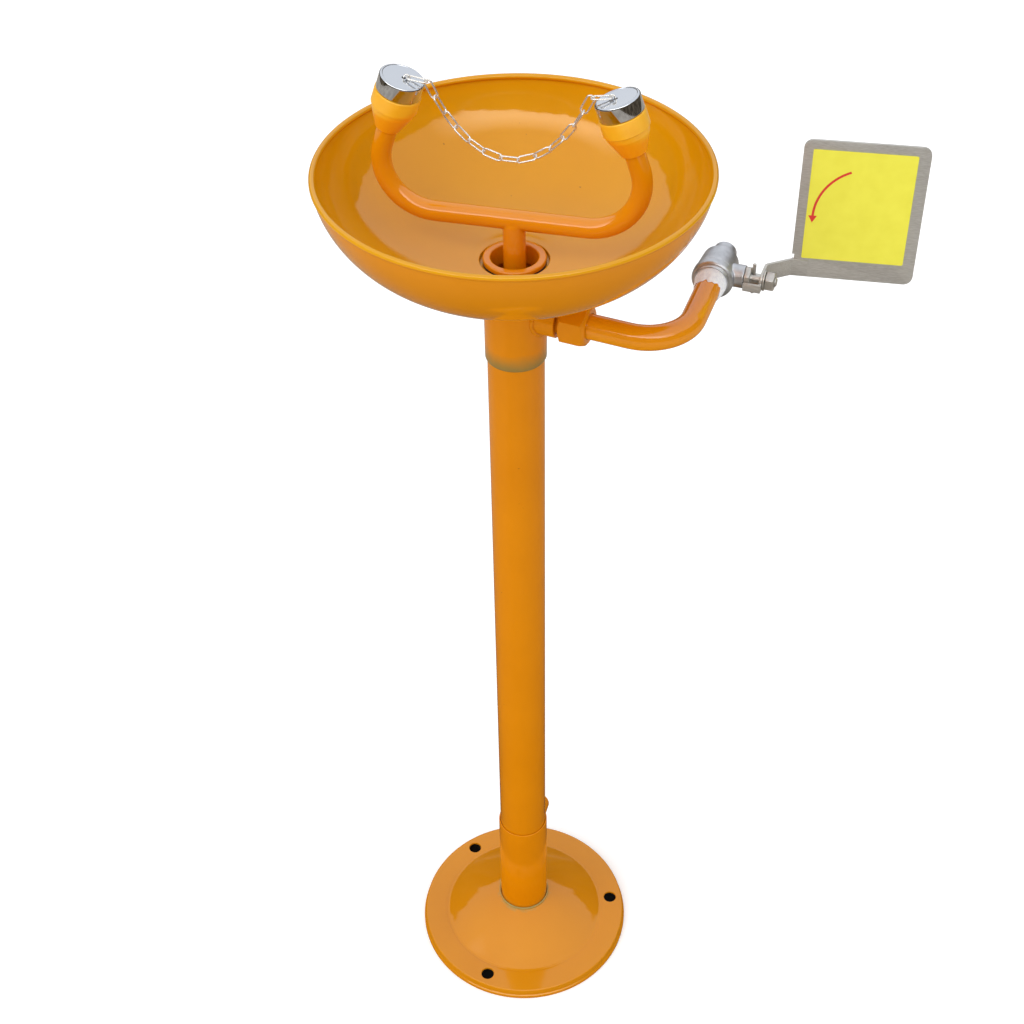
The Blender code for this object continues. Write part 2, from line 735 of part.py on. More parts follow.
def link_mesh():
    """One welded link: a round wire bent to a long loop in the XY plane."""
    half_width = (LINK_WIDTH - LINK_WIRE) / 2
    straight = (LINK_LENGTH - LINK_WIDTH) / 2
    right_end = arc((straight, 0.0), half_width, -math.pi / 2, math.pi / 2, CORNER_STEPS)
    loop = right_end + [(-x, -y) for x, y in right_end]
    turns = [2 * math.pi * i / WIRE_SIDES for i in range(WIRE_SIDES)]
    shape = bmesh.new()
    rings = []
    for x, y in loop:
        outward = Vector((x - math.copysign(straight, x), y, 0.0)).normalized()
        spokes = [outward * math.cos(t) + Vector((0, 0, math.sin(t))) for t in turns]
        rings.append([shape.verts.new(Vector((x, y, 0)) + s * LINK_WIRE / 2) for s in spokes])
    for first, second in zip(rings, rings[1:] + rings[:1]):
        bridge(shape, first, second)
    return closed_mesh("chain_link", shape)


def hanging_slopes(span, lengths):
    """Slopes of links of these lengths that hang between two points at one height."""
    low, high = 0.0, 10.0
    middle = (len(lengths) - 1) / 2
    for _ in range(60):
        step = (low + high) / 2
        slopes = [math.atan(step * (i - middle)) for i in range(len(lengths))]
        if sum(length * math.cos(slope) for length, slope in zip(lengths, slopes)) > span:
            low = step
        else:
            high = step
    return slopes


link = link_mesh()
link.materials.append(material("chain_link", CHROME))


def place_link(number, middle, slope, twist, parent, pivot):
    """Put one link in the yoke's plane: even ones stand in it, odd ones lie across it."""
    made = piece("chain_link_%02d" % number, link, CHROME, parent)
    roll = twist + (math.pi / 2 if number % 2 == 0 else 0.0)
    turn = Matrix.Rotation(-slope, 3, "Y") @ Matrix.Rotation(roll, 3, "X")
    made.rotation_euler = turn.to_euler()
    made.location = (middle[0] - pivot[0], 0.0, middle[1] - pivot[1])


# The two end links lie on the caps, with one end under the staple
end_slope = -HEAD_TILT + END_LINK_RISE
end_height = GAP + LINK_WIRE / 2
start = Vector((STAPLE_OFFSET, end_height))
tilt = Matrix.Rotation(-HEAD_TILT, 2)
staple_at = tilt @ start + Vector((-HEAD_X, HEAD_RISE))
way = Vector((math.cos(end_slope), math.sin(end_slope)))
left_hook = staple_at + way * 2 * LINK_REACH
right_hook = Vector((-left_hook[0], left_hook[1]))

# The first and last hanging links turn on the end wires of those two
hanging = LINK_COUNT - 2
lengths = [LINK_PITCH] * hanging
lengths[0] -= HOOK
lengths[-1] -= HOOK
slopes = hanging_slopes(right_hook[0] - left_hook[0], lengths)
ways = [Vector((math.cos(slope), math.sin(slope))) for slope in slopes]
joints = [left_hook - HOOK * ways[0]]
for way in ways:
    joints.append(joints[-1] + LINK_PITCH * way)

# The chain hangs as two runs, each on its own pivot, that meet after the middle link
middle_number = (LINK_COUNT + 1) // 2
shift = Vector((YOKE_OFFSET, 0.0))
pivot_places = {
    "chain_left_pivot": left_hook + shift,
    "chain_right_pivot": right_hook + shift,
}
pivots = {
    name: empty(name, (place[0], 0.0, place[1]), parent=yoke_middle)
    for name, place in pivot_places.items()
}

for number in range(1, LINK_COUNT + 1):
    if number in (1, LINK_COUNT):
        side = "left" if number == 1 else "right"
        made = piece("chain_link_%02d" % number, link, CHROME, heads[side])
        made.rotation_euler = (0.0, -END_LINK_RISE, 0.0)
        reach = LINK_REACH * Vector((math.cos(END_LINK_RISE), math.sin(END_LINK_RISE)))
        made.location = (STAPLE_OFFSET + reach[0], 0.0, end_height + reach[1])
        continue
    pivot = "chain_left_pivot" if number <= middle_number else "chain_right_pivot"
    middle = (joints[number - 2] + joints[number - 1]) / 2 + shift
    twist = CHAIN_TWIST * math.sin(math.pi * (number - 2) / (hanging - 1))
    place_link(number, middle, slopes[number - 2], twist, pivots[pivot], pivot_places[pivot])


# Supply arm: coupling, hexagon adapter, bent pipe and its sealing tape

coupling = piece(
    "inlet_coupling",
    ring("inlet_coupling", COUPLING_R, SPIGOT_R + GAP, 0.0, COUPLING_END, SMALL, "X"),
    ORANGE_PAINT, arm_axis,
)
collar_space = tool(
    "collar_space", rod("collar_space", SLEEVE_R + GAP, COLLAR_FOOT_Z, COLLAR_TOP_Z, ROUND),
)
combine(coupling, collar_space, "DIFFERENCE")

pipe_stop = HEX_END - PIPE_IN_ADAPTER
adapter = piece(
    "hex_adapter", prism("hex_adapter", hexagon(HEX_FLATS), HEX_START, HEX_END, "X"),
    ORANGE_PAINT, arm_axis,
)
corner_r = HEX_FLATS / math.sqrt(3)
chamfer = tool("hex_chamfer", turned("hex_chamfer", [
    (0.0, HEX_END + GAP), (HEX_FACE_R, HEX_END + GAP),
    (corner_r + GAP, HEX_END - HEX_CHAMFER), (corner_r + GAP, HEX_START + HEX_CHAMFER),
    (HEX_FACE_R, HEX_START - GAP), (0.0, HEX_START - GAP),
], ROUND, "X"), arm_axis)
combine(adapter, chamfer, "INTERSECT")
spigot = tool(
    "hex_spigot", rod("hex_spigot", SPIGOT_R, RISER_END + GAP, HEX_START + HEX_CHAMFER, SMALL, "X"), arm_axis,
)
combine(adapter, spigot, "UNION")
adapter_way = tool("adapter_way", turned("adapter_way", [
    (0.0, HEX_END + PIPE_R), (PIPE_R + GAP, HEX_END + PIPE_R), (PIPE_R + GAP, pipe_stop),
    (SPIGOT_BORE, pipe_stop), (SPIGOT_BORE, 0.0), (0.0, 0.0),
], SMALL, "X"), arm_axis)
combine(adapter, adapter_way, "DIFFERENCE")

bend_end = Vector((PIPE_RUN, PIPE_BEND))
bend_end += PIPE_BEND * Vector((math.sin(PIPE_TURN), -math.cos(PIPE_TURN)))
back = Vector((math.cos(PIPE_TURN), math.sin(PIPE_TURN)))


def supply_path():
    """Out along the arm, round the bend and straight back into the valve."""
    bend = arc((PIPE_RUN, PIPE_BEND), PIPE_BEND, -math.pi / 2, PIPE_TURN - math.pi / 2, BEND_STEPS)
    end = bend_end + back * (PIPE_STRAIGHT + PIPE_IN_VALVE)
    return [(pipe_stop + GAP, 0, 0)] + [(x, y, 0) for x, y in bend] + [(end[0], end[1], 0)]


piece(
    "supply_pipe", sweep("supply_pipe", supply_path(), (PIPE_R, PIPE_R - PIPE_WALL), PIPE_SIDES),
    ORANGE_PAINT, arm_axis,
)

# The valve's frame sits in the middle of its ball: +Y back along the pipe, +X out along the stem
ball_at = bend_end + back * (PIPE_STRAIGHT + VALVE_FACE)
valve_middle = empty("valve_middle", (*ball_at, 0.0), (0.0, 0.0, PIPE_TURN - math.pi / 2), arm_axis)
tape_end = -VALVE_FACE - GAP
tape_start = tape_end - TAPE_LENGTH
tape_bore = PIPE_R + GAP
piece(
    "thread_tape",
    turned("thread_tape", [
        (tape_bore, tape_end), (tape_bore + TAPE_T, tape_end), (tape_bore + TAPE_T, tape_start + TAPE_THIN),
        (tape_bore + TAPE_EDGE_T, tape_start), (tape_bore, tape_start),
    ], SMALL, "Y"),
    SEAL, valve_middle,
)


# Ball valve

web_back = -SEAT_BACK - GAP
web_front = web_back - VALVE_WEB
band_foot = -VALVE_FACE + VALVE_BAND
soft = 2 * GAP

valve_body = piece(
    "valve_body",
    turned("valve_body", [
        (PIPE_R + GAP, -VALVE_FACE), (VALVE_BAND_R - soft, -VALVE_FACE), (VALVE_BAND_R, -VALVE_FACE + soft),
        (VALVE_BAND_R, band_foot), (VALVE_R, band_foot + soft),
        (VALVE_TAPER_R + soft, VALVE_STEP - 2 * soft), (VALVE_TAPER_R - soft, VALVE_STEP),
        (VALVE_BORE_R, VALVE_STEP), (VALVE_BORE_R, SEAT_BACK), (CAVITY_R, SEAT_BACK),
        (CAVITY_R, web_back), (SEAT_BORE / 2, web_back), (SEAT_BORE / 2, web_front),
        (PIPE_R + GAP, web_front),
    ], SMALL, "Y"),
    STEEL, valve_middle,
)
boss_start = VALVE_BORE_R + soft
boss = tool("stem_boss", rod("stem_boss", BOSS_R, boss_start, BOSS_END, SMALL, "X"), valve_middle)
combine(valve_body, boss, "UNION")

# The stop lug fills one quarter beside the stem, so that the stop pin can turn by a right angle
clear = math.asin((PIN_R + GAP) / LUG_IN_R)
lug_angles = (clear, math.pi / 2 - clear)
lug_outline = arc((0, 0), LUG_OUT_R, *lug_angles, ARC_STEPS)
lug_outline += arc((0, 0), LUG_IN_R, *reversed(lug_angles), ARC_STEPS)
lug = tool("stop_lug", prism("stop_lug", lug_outline, boss_start, LUG_END, "X"), valve_middle)
combine(valve_body, lug, "UNION")
stem_way = tool("stem_way", turned("stem_way", [
    (0.0, BOSS_END + STEM_R), (PACKING_R + GAP, BOSS_END + STEM_R), (PACKING_R + GAP, PACKING_START),
    (STEM_R + GAP, PACKING_START), (STEM_R + GAP, BALL_R / 2), (0.0, BALL_R / 2),
], SMALL, "X"), valve_middle)
combine(valve_body, stem_way, "DIFFERENCE")

piece(
    "valve_end_piece",
    turned("valve_end_piece", [
        (SEAT_BORE / 2, SEAT_BACK + GAP), (VALVE_SCREW_R, SEAT_BACK + GAP), (VALVE_SCREW_R, VALVE_STEP + GAP),
        (VALVE_END_R, VALVE_STEP + GAP), (VALVE_END_R, VALVE_END - soft),
        (VALVE_END_R - soft, VALVE_END), (PORT_R, VALVE_END), (PORT_R, VALVE_END - PORT_DEPTH),
        (SEAT_BORE / 2, VALVE_END - PORT_DEPTH),
    ], SMALL, "Y"),
    STEEL, valve_middle,
)


def seat_profile(sign):
    """Section of a seat ring, hollowed to the ball."""
    bore = SEAT_BORE / 2
    lip = (BALL_R + CAVITY_R) / 2 - 3 * GAP
    lift = 2 * GAP
    at_bore = math.sqrt(SEAT_R ** 2 - bore ** 2) + GAP / 3
    at_lip = math.sqrt(SEAT_R ** 2 - (lip - lift) ** 2) + lift
    outer = CAVITY_R - GAP
    section = [(bore, SEAT_BACK), (outer, SEAT_BACK), (outer, at_lip), (lip - lift, at_lip), (bore, at_bore)]
    return [(radius, sign * along) for radius, along in section]


piece("valve_seat_front", turned("valve_seat_front", seat_profile(-1), SMALL, "Y"), SEAL, valve_middle)
piece("valve_seat_back", turned("valve_seat_back", seat_profile(1), SMALL, "Y"), SEAL, valve_middle)

stem_axis = empty("stem_axis", (0.0, 0.0, 0.0), parent=valve_middle)
globe = arc((0, 0), BALL_R, math.pi / 2, -math.pi / 2, BALL_STEPS)
globe[0] = (0.0, BALL_R)
globe[-1] = (0.0, -BALL_R)
ball = piece("valve_ball", turned("valve_ball", globe, SMALL), CHROME, stem_axis)
ball_way = tool("ball_way", rod("ball_way", BALL_BORE / 2, -2 * BALL_R, 2 * BALL_R, ROUND), stem_axis)
combine(ball, ball_way, "DIFFERENCE")
tang_foot = BALL_BORE / 2 + TANG_WALL
tang_slot = tool("tang_slot", box(
    "tang_slot", (tang_foot - GAP, -TANG_T / 2 - GAP, -BALL_R), (2 * BALL_R, TANG_T / 2 + GAP, BALL_R),
), stem_axis)
combine(ball, tang_slot, "DIFFERENCE")

stem_foot = BALL_R + GAP
stem = piece(
    "valve_stem",
    turned("valve_stem", [
        (0.0, STEM_END), (STEM_TIP_R - GAP, STEM_END), (STEM_TIP_R, STEM_END - GAP),
        (STEM_TIP_R, STEM_SHOULDER), (STEM_R, STEM_SHOULDER), (STEM_R, stem_foot), (0.0, stem_foot),
    ], SMALL, "X"),
    STEEL, stem_axis,
)
tang = tool("stem_tang", box(
    "stem_tang", (tang_foot, -TANG_T / 2, -TANG_W / 2), (stem_foot + STEM_R, TANG_T / 2, TANG_W / 2),
), stem_axis)
combine(stem, tang, "UNION")
pin_way = tool("pin_way", rod("pin_way", PIN_R + GAP, -PIN_LENGTH, PIN_LENGTH, TINY), stem_axis)
pin_way.location.x = PIN_X
combine(stem, pin_way, "DIFFERENCE")
pin = piece("stop_pin", rod("stop_pin", PIN_R, -PIN_LENGTH / 2, PIN_LENGTH / 2, TINY), STEEL, stem_axis)
pin.location.x = PIN_X

packing_end = PACKING_START + GAP + PACKING_LENGTH
piece(
    "stem_packing",
    ring("stem_packing", PACKING_R, STEM_R + GAP, PACKING_START + GAP, packing_end, SMALL, "X"),
    SEAL, valve_middle,
)
gland_foot = BOSS_END + GAP
gland_end = gland_foot + GLAND_HEX
gland = piece(
    "gland_nut",
    ring("gland_nut", PACKING_R, STEM_R + GAP, packing_end + GAP, gland_end - GAP, SMALL, "X"),
    STEEL, valve_middle,
)
gland_hex = tool(
    "gland_hex", prism("gland_hex", hexagon(GLAND_FLATS), gland_foot, gland_end, "X"), valve_middle,
)
gland_way = tool("gland_way", rod("gland_way", STEM_R + GAP, 0.0, STEM_END, SMALL, "X"), valve_middle)
combine(gland, gland_hex, "UNION")
combine(gland, gland_way, "DIFFERENCE")


# Push handle: tab on the stem, strip, and the plate that a hand pushes

def rounded(points, radius, steps):
    """A line of points with its inner corners rounded."""
    made = [Vector(points[0])]
    for before, corner, after in zip(points, points[1:], points[2:]):
        corner = Vector(corner)
        come = (Vector(before) - corner).normalized()
        leave = (Vector(after) - corner).normalized()
        half_angle = come.angle(leave) / 2
        middle = corner + (come + leave).normalized() * radius / math.sin(half_angle)
        first = corner + come * radius / math.tan(half_angle) - middle
        last = corner + leave * radius / math.tan(half_angle) - middle
        for i in range(steps + 1):
            made.append(middle + first.lerp(last, i / steps).normalized() * radius)
    return made + [Vector(points[-1])]


def strip_outline(points, thickness):
    """The outline of a bent strip seen from above."""
    left, right = [], []
    for i, point in enumerate(points):
        way = (points[min(i + 1, len(points) - 1)] - points[max(i - 1, 0)]).normalized()
        off = Vector((-way[1], way[0])) * thickness / 2
        left.append(point + off)
        right.append(point - off)
    return [tuple(p) for p in left + right[::-1]]


tab_foot = STEM_SHOULDER + GAP
tab_x = tab_foot + SHEET / 2
plate_way = Vector((math.cos(PLATE_YAW), math.sin(PLATE_YAW)))
fold = Vector((FOLD_X, FOLD_Y))
strip_line = rounded(
    [(tab_x, -TAB_FRONT), (tab_x, TAB_BACK), tuple(fold), tuple(fold + plate_way * 3 * BEND_R)],
    BEND_R, CORNER_STEPS,
)
strip_mesh = prism("push_handle", strip_outline(strip_line, SHEET), -STRIP_H / 2, STRIP_H / 2)


def round_tab(mesh):
    """Round the front end of the tab, seen along the stem."""
    shape = bmesh.new()
    shape.from_mesh(mesh)
    front = [e for e in shape.edges if all(v.co.y < -TAB_FRONT + GAP for v in e.verts)]
    ends = [e for e in front if abs(e.verts[0].co.z - e.verts[1].co.z) < GAP]
    bmesh.ops.bevel(shape, geom=ends, offset=TAB_ROUND, segments=CORNER_STEPS, profile=0.5, affect="EDGES")
    return closed_mesh(mesh.name, shape)


handle = piece("push_handle", round_tab(strip_mesh), SHEET_STEEL, stem_axis)

# The plate's own frame: X along its foot, Y up its face, Z out of its front
plate_turn = Matrix.Rotation(PLATE_YAW, 3, "Z") @ Matrix.Rotation(math.pi / 2 - PLATE_LEAN, 3, "X")
plate_foot = empty("plate_foot", (FOLD_X, FOLD_Y, -STRIP_H / 2), plate_turn.to_euler(), stem_axis)


def plate_outline():
    """The push plate: three round corners, and a square one where the strip joins it."""
    radius = PLATE_CORNER
    right = PLATE_W - radius
    head = PLATE_H - radius
    right_foot = arc((right, radius), radius, -math.pi / 2, 0.0, CORNER_STEPS)
    right_head = arc((right, head), radius, 0.0, math.pi / 2, CORNER_STEPS)
    left_head = arc((radius, head), radius, math.pi / 2, math.pi, CORNER_STEPS)
    return [(0.0, 0.0)] + right_foot + right_head + left_head


plate = tool("push_plate", prism("push_plate", plate_outline(), -SHEET / 2, SHEET / 2), plate_foot)
combine(handle, plate, "UNION")
relief = tool("relief_slot", box(
    "relief_slot", (-2 * SHEET, STRIP_H, -2 * SHEET), (RELIEF_W, STRIP_H + RELIEF_H, 2 * SHEET),
), plate_foot)
combine(handle, relief, "DIFFERENCE")
tip_hole = STEM_TIP_R + GAP
tab_hole = tool(
    "tab_hole", rod("tab_hole", tip_hole, tab_foot - SHEET, tab_foot + 2 * SHEET, SMALL, "X"), stem_axis,
)
combine(handle, tab_hole, "DIFFERENCE")

label_front = SHEET / 2 + GAP
label_low = (LABEL_LEFT, LABEL_FOOT, label_front)
label_high = (PLATE_W - LABEL_RIGHT, PLATE_H - LABEL_HEAD, label_front + LABEL_T)
piece("handle_label", box("handle_label", label_low, label_high), LABEL_YELLOW, plate_foot)

washer_foot = tab_foot + SHEET + GAP
nut_foot = washer_foot + WASHER_T + GAP
piece(
    "handle_washer",
    ring("handle_washer", WASHER_R, tip_hole, washer_foot, washer_foot + WASHER_T, SMALL, "X"),
    STEEL, stem_axis,
)
nut = piece(
    "handle_nut", prism("handle_nut", hexagon(NUT_FLATS), nut_foot, nut_foot + NUT_T, "X"),
    STEEL, stem_axis,
)
nut_way = tool(
    "nut_way", rod("nut_way", tip_hole, nut_foot - NUT_T, nut_foot + 2 * NUT_T, SMALL, "X"), stem_axis,
)
combine(nut, nut_way, "DIFFERENCE")
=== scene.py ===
# %% [markdown]
# # An eyewash station on a pedestal
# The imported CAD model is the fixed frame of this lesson: it says where every piece is and how big it is.
# Most pieces below take the place of one CAD node and add what a plain solid leaves out: rolled edges,
# threads, weld beads, cast corners and paint. All sizes are in metres, with +Z up and the floor at zero.

# %% Load the frame
import json
import math
import random

import bpy
import numpy as np
from mathutils import Matrix, Vector


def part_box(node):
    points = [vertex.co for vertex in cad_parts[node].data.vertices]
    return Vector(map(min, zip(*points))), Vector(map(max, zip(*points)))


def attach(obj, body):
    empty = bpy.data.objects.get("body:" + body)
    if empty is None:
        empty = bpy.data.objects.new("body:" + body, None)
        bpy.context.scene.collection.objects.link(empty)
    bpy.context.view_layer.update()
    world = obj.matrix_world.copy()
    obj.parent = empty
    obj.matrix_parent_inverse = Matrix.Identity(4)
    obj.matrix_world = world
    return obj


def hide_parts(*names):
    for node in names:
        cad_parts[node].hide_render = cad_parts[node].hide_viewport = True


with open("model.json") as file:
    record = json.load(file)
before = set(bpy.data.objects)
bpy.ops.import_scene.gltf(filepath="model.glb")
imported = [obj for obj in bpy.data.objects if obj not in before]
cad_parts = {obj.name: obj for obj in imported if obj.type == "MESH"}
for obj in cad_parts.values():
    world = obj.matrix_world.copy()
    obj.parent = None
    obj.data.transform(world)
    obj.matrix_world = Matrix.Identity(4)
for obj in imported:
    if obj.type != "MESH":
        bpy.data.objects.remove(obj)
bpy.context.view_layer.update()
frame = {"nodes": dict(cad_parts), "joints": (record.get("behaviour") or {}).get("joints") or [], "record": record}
NODES = frame["nodes"]
JOINTS = {joint["name"]: joint for joint in frame["joints"]}
MM = 0.001


def in_mm(values, digits=1):
    """Sizes in metres as rounded millimetres, to print."""
    return [round(v / MM, digits) for v in values]


# %% [markdown]
# ## Camera
# The photograph looks down on the bowl from in front and a little to the right, from about 1.4 m.
# The place and the lens were worked out from known points of the object, for a square picture.
# The camera is turned about its own axis by one degree, as a hand-held one is.

# %% Camera
CAMERA_AT = Vector((0.27413, -0.92545, 1.38359))
CAMERA_WAY = Vector((-0.2174, 0.7200, -0.6590)).normalized()
CAMERA_ROLL = math.radians(-1.05)
CAMERA_LENS = 56.72
CAMERA_SENSOR = 36.0

bpy.ops.object.select_all(action="DESELECT")
bpy.ops.object.camera_add(location=CAMERA_AT)
camera = bpy.context.object
level = CAMERA_WAY.cross(Vector((0, 0, 1))).normalized()
upright = level.cross(CAMERA_WAY)
across = level * math.cos(CAMERA_ROLL) + upright * math.sin(CAMERA_ROLL)
above = upright * math.cos(CAMERA_ROLL) - level * math.sin(CAMERA_ROLL)
camera.rotation_euler = Matrix((across, above, -CAMERA_WAY)).transposed().to_euler()
camera.data.lens = CAMERA_LENS
camera.data.sensor_width = CAMERA_SENSOR
bpy.context.scene.camera = camera
print("camera", in_mm(CAMERA_AT), "mm")

# %% [markdown]
# ## Frames to build in
# Most pieces here are turned or bent round an axis of their own, so each is modelled upright at the
# origin and then set in place by a matrix. The matrices come from the joints and the nodes of the
# frame: the two heads lean along the lift of their caps, the valve lies along its stem's hinge, and
# the supply arm points from the column to its hexagon.

# %% Frames
def corners_of(node):
    """A CAD node's vertices as rows of numbers."""
    return np.array([vertex.co for vertex in NODES[node].data.vertices])


def frame_at(origin, x_axis, y_axis, z_axis):
    """A matrix that sets a piece at an origin, turned to three axes."""
    turn = Matrix((x_axis, y_axis, z_axis)).transposed().to_4x4()
    return Matrix.Translation(origin) @ turn


def span(node, place):
    """Lowest and highest corner of a CAD node, seen in a frame."""
    seen = np.array([place.inverted() @ Vector(co) for co in corners_of(node)])
    return Vector(seen.min(0)), Vector(seen.max(0))


UP = Vector((0, 0, 1))
YOKE_Y = Vector(JOINTS["chain_left_swing"]["axis"]).normalized()
YOKE_X = YOKE_Y.cross(UP)


def head_place(side):
    """The top of one dust cap: +Z up the head, +X in to the middle of the yoke."""
    lift = Vector(JOINTS["cap_%s_lift" % side]["axis"]).normalized()
    inward = YOKE_Y.cross(lift) * (1 if side == "left" else -1)
    turn = frame_at(Vector(), inward, lift.cross(inward), lift)
    low, high = span("dust_cap_" + side, turn)
    return turn @ Matrix.Translation(((low.x + high.x) / 2, (low.y + high.y) / 2, high.z))


HEADS = {side: head_place(side) for side in ("left", "right")}
stem_hinge = JOINTS["push_handle_turn"]
STEM_X = -Vector(stem_hinge["axis"]).normalized()
VALVE = frame_at(Vector(stem_hinge["pos_m"]), STEM_X, UP.cross(STEM_X), UP)
hexagon_middle = Vector(corners_of("hex_adapter").mean(0))
ARM_X = Vector((hexagon_middle.x, hexagon_middle.y, 0)).normalized()
ARM = frame_at(Vector((0, 0, stem_hinge["pos_m"][2])), ARM_X, UP.cross(ARM_X), UP)
ALONG_X = Matrix.Rotation(math.pi / 2, 4, "Y")
ALONG_Y = Matrix.Rotation(-math.pi / 2, 4, "X")
yoke_low, yoke_high = span("yoke_tube", frame_at(Vector(), YOKE_X, YOKE_Y, UP))
YOKE_R = (yoke_high.y - yoke_low.y) / 2
YOKE_MIDDLE = (yoke_low.x + yoke_high.x) / 2
YOKE = frame_at(YOKE_X * YOKE_MIDDLE + UP * (yoke_low.z + YOKE_R), YOKE_X, YOKE_Y, UP)
print("yoke radius", in_mm([YOKE_R], 2), "middle", in_mm(YOKE.translation), "mm")

# %% [markdown]
# ## Hand tools
# These are the few ways in which every piece is worked. A turned piece is a profile drawn by extruding
# one vertex from point to point, then spun round Z. A pipe is a ring that is extruded along the
# straight runs and spun round the bends. Sharp corners of a profile are rounded first, because on
# painted and plated metal it is the small rounded edge that catches the light.

# %% Selecting and applying
def deselect():
    """Leave edit mode with nothing selected, and go back to selecting vertices."""
    if bpy.context.object and bpy.context.object.mode != "OBJECT":
        bpy.ops.object.mode_set(mode="OBJECT")
    bpy.ops.object.select_all(action="DESELECT")
    bpy.context.tool_settings.mesh_select_mode = (True, False, False)


def take(piece):
    """Make one piece the selected and active object."""
    deselect()
    piece.select_set(True)
    bpy.context.view_layer.objects.active = piece


def add_primitive(kind, name, **settings):
    """Add a primitive to start from, with nothing else selected."""
    deselect()
    getattr(bpy.ops.mesh, "primitive_%s_add" % kind)(**settings)
    piece = bpy.context.object
    piece.name = name
    return piece


def pick(piece, test, kind="VERT"):
    """Enter edit mode with only the vertices, edges or faces selected that pass a test."""
    take(piece)
    bpy.ops.object.mode_set(mode="EDIT")
    bpy.ops.mesh.select_mode(type=kind)
    bpy.ops.mesh.select_all(action="DESELECT")
    bpy.ops.object.mode_set(mode="OBJECT")
    mesh = piece.data
    for item in {"VERT": mesh.vertices, "EDGE": mesh.edges, "FACE": mesh.polygons}[kind]:
        item.select = test(item)
    bpy.ops.object.mode_set(mode="EDIT")


def close_up(piece):
    """Merge doubles and point every face outwards."""
    pick(piece, lambda vertex: True)
    bpy.ops.mesh.select_all(action="SELECT")
    bpy.ops.mesh.remove_doubles(threshold=0.001 * MM)
    bpy.ops.mesh.normals_make_consistent(inside=False)
    bpy.ops.object.mode_set(mode="OBJECT")
    return piece


def cap_ends(piece):
    """Fill the open ends of a bent wire or of a part turn."""
    pick(piece, lambda vertex: True)
    bpy.ops.mesh.fill_holes(sides=0)
    bpy.ops.object.mode_set(mode="OBJECT")
    return close_up(piece)


def apply(piece, kind, **settings):
    """Add one modifier with its settings and apply it."""
    take(piece)
    step = piece.modifiers.new(kind.lower(), kind)
    for key, value in settings.items():
        setattr(step, key, value)
    bpy.ops.object.modifier_apply(modifier=step.name)
    return piece


def combine(piece, other, operation="DIFFERENCE"):
    """Cut a piece with another, or add the other to it; the other is used up."""
    apply(piece, "BOOLEAN", operation=operation, object=other, solver="EXACT")
    bpy.data.objects.remove(other, do_unlink=True)
    return piece


def set_down(piece, place):
    """Move a piece to its place and store the place in its mesh."""
    take(piece)
    piece.matrix_world = place
    bpy.ops.object.transform_apply(location=True, rotation=True, scale=True)
    return piece


# %% Turning and leading
def from_mm(rows, out=0.0, up=0.0):
    """Profile rows in millimetres, measured out from a radius and up from a height in metres."""
    return [(out + row[0] * MM, up + row[1] * MM, *row[2:]) for row in rows]


def soften(corners, steps=5, loop=True):
    """Round the corners of a profile: (radius, height) in metres and a rounding in millimetres."""
    points = []
    count = len(corners)
    for i, (x, y, rounding) in enumerate(corners):
        if rounding == 0 or (not loop and i in (0, count - 1)):
            points.append((x, y))
            continue
        corner = Vector((x, y))
        come = (Vector(corners[i - 1][:2]) - corner).normalized()
        leave = (Vector(corners[(i + 1) % count][:2]) - corner).normalized()
        half = come.angle(leave) / 2
        curve = rounding * MM
        middle = corner + (come + leave).normalized() * curve / math.sin(half)
        first = corner + come * curve / math.tan(half) - middle
        last = corner + leave * curve / math.tan(half) - middle
        for step in range(steps + 1):
            points.append(tuple(middle + first.lerp(last, step / steps).normalized() * curve))
    return points


def drawn_line(name, points):
    """Extrude one vertex from point to point, and stay in edit mode with the whole line selected."""
    piece = add_primitive("plane", name, size=MM)
    bpy.ops.object.mode_set(mode="EDIT")
    bpy.ops.mesh.merge(type="CENTER")
    bpy.ops.transform.translate(value=points[0])
    for here, there in zip(points, points[1:]):
        step = Vector(there) - Vector(here)
        bpy.ops.mesh.extrude_region_move(TRANSFORM_OT_translate={"value": step})
    bpy.ops.mesh.select_all(action="SELECT")
    return piece


def turned(name, profile, sides=96, loop=True, angle=2 * math.pi):
    """Spin a profile of (radius, height) points round Z. A profile that is no loop ends on the axis."""
    closing = profile[:1] if loop else []
    piece = drawn_line(name, [(radius, 0, height) for radius, height in profile + closing])
    bpy.ops.mesh.spin(steps=sides, angle=angle, center=(0, 0, 0), axis=(0, 0, -1))
    bpy.ops.object.mode_set(mode="OBJECT")
    close_up(piece)
    return piece if angle == 2 * math.pi else cap_ends(piece)


def rod(radius, foot, top, sides=48):
    """A plain rod round Z between two heights, to cut with or to add."""
    return turned("rod", [(0, foot), (radius, foot), (radius, top), (0, top)], sides, loop=False)


def led_pipe(name, radius, start, way, route, sides=48):
    """Lead a ring along a route: a number is a straight run, (normal, bend radius, angle) a bend."""
    piece = add_primitive("circle", name, vertices=sides, radius=radius)
    here, way = Vector(start), Vector(way).normalized()
    piece.matrix_world = Matrix.Translation(here) @ way.to_track_quat("Z", "Y").to_matrix().to_4x4()
    bpy.ops.object.transform_apply(location=True, rotation=True, scale=True)
    bpy.ops.object.mode_set(mode="EDIT")
    bpy.ops.mesh.select_all(action="SELECT")
    for step in route:
        if isinstance(step, tuple):
            normal, bend, angle = Vector(step[0]), step[1], step[2]
            centre = here + normal.cross(way) * bend
            steps = max(6, round(math.degrees(angle) / 5))
            bpy.ops.mesh.spin(steps=steps, angle=angle, center=centre, axis=-normal)
            turn = Matrix.Rotation(angle, 3, normal)
            here, way = centre + turn @ (here - centre), turn @ way
        else:
            bpy.ops.mesh.extrude_region_move(TRANSFORM_OT_translate={"value": way * step})
            here = here + way * step
    bpy.ops.object.mode_set(mode="OBJECT")
    return close_up(piece)


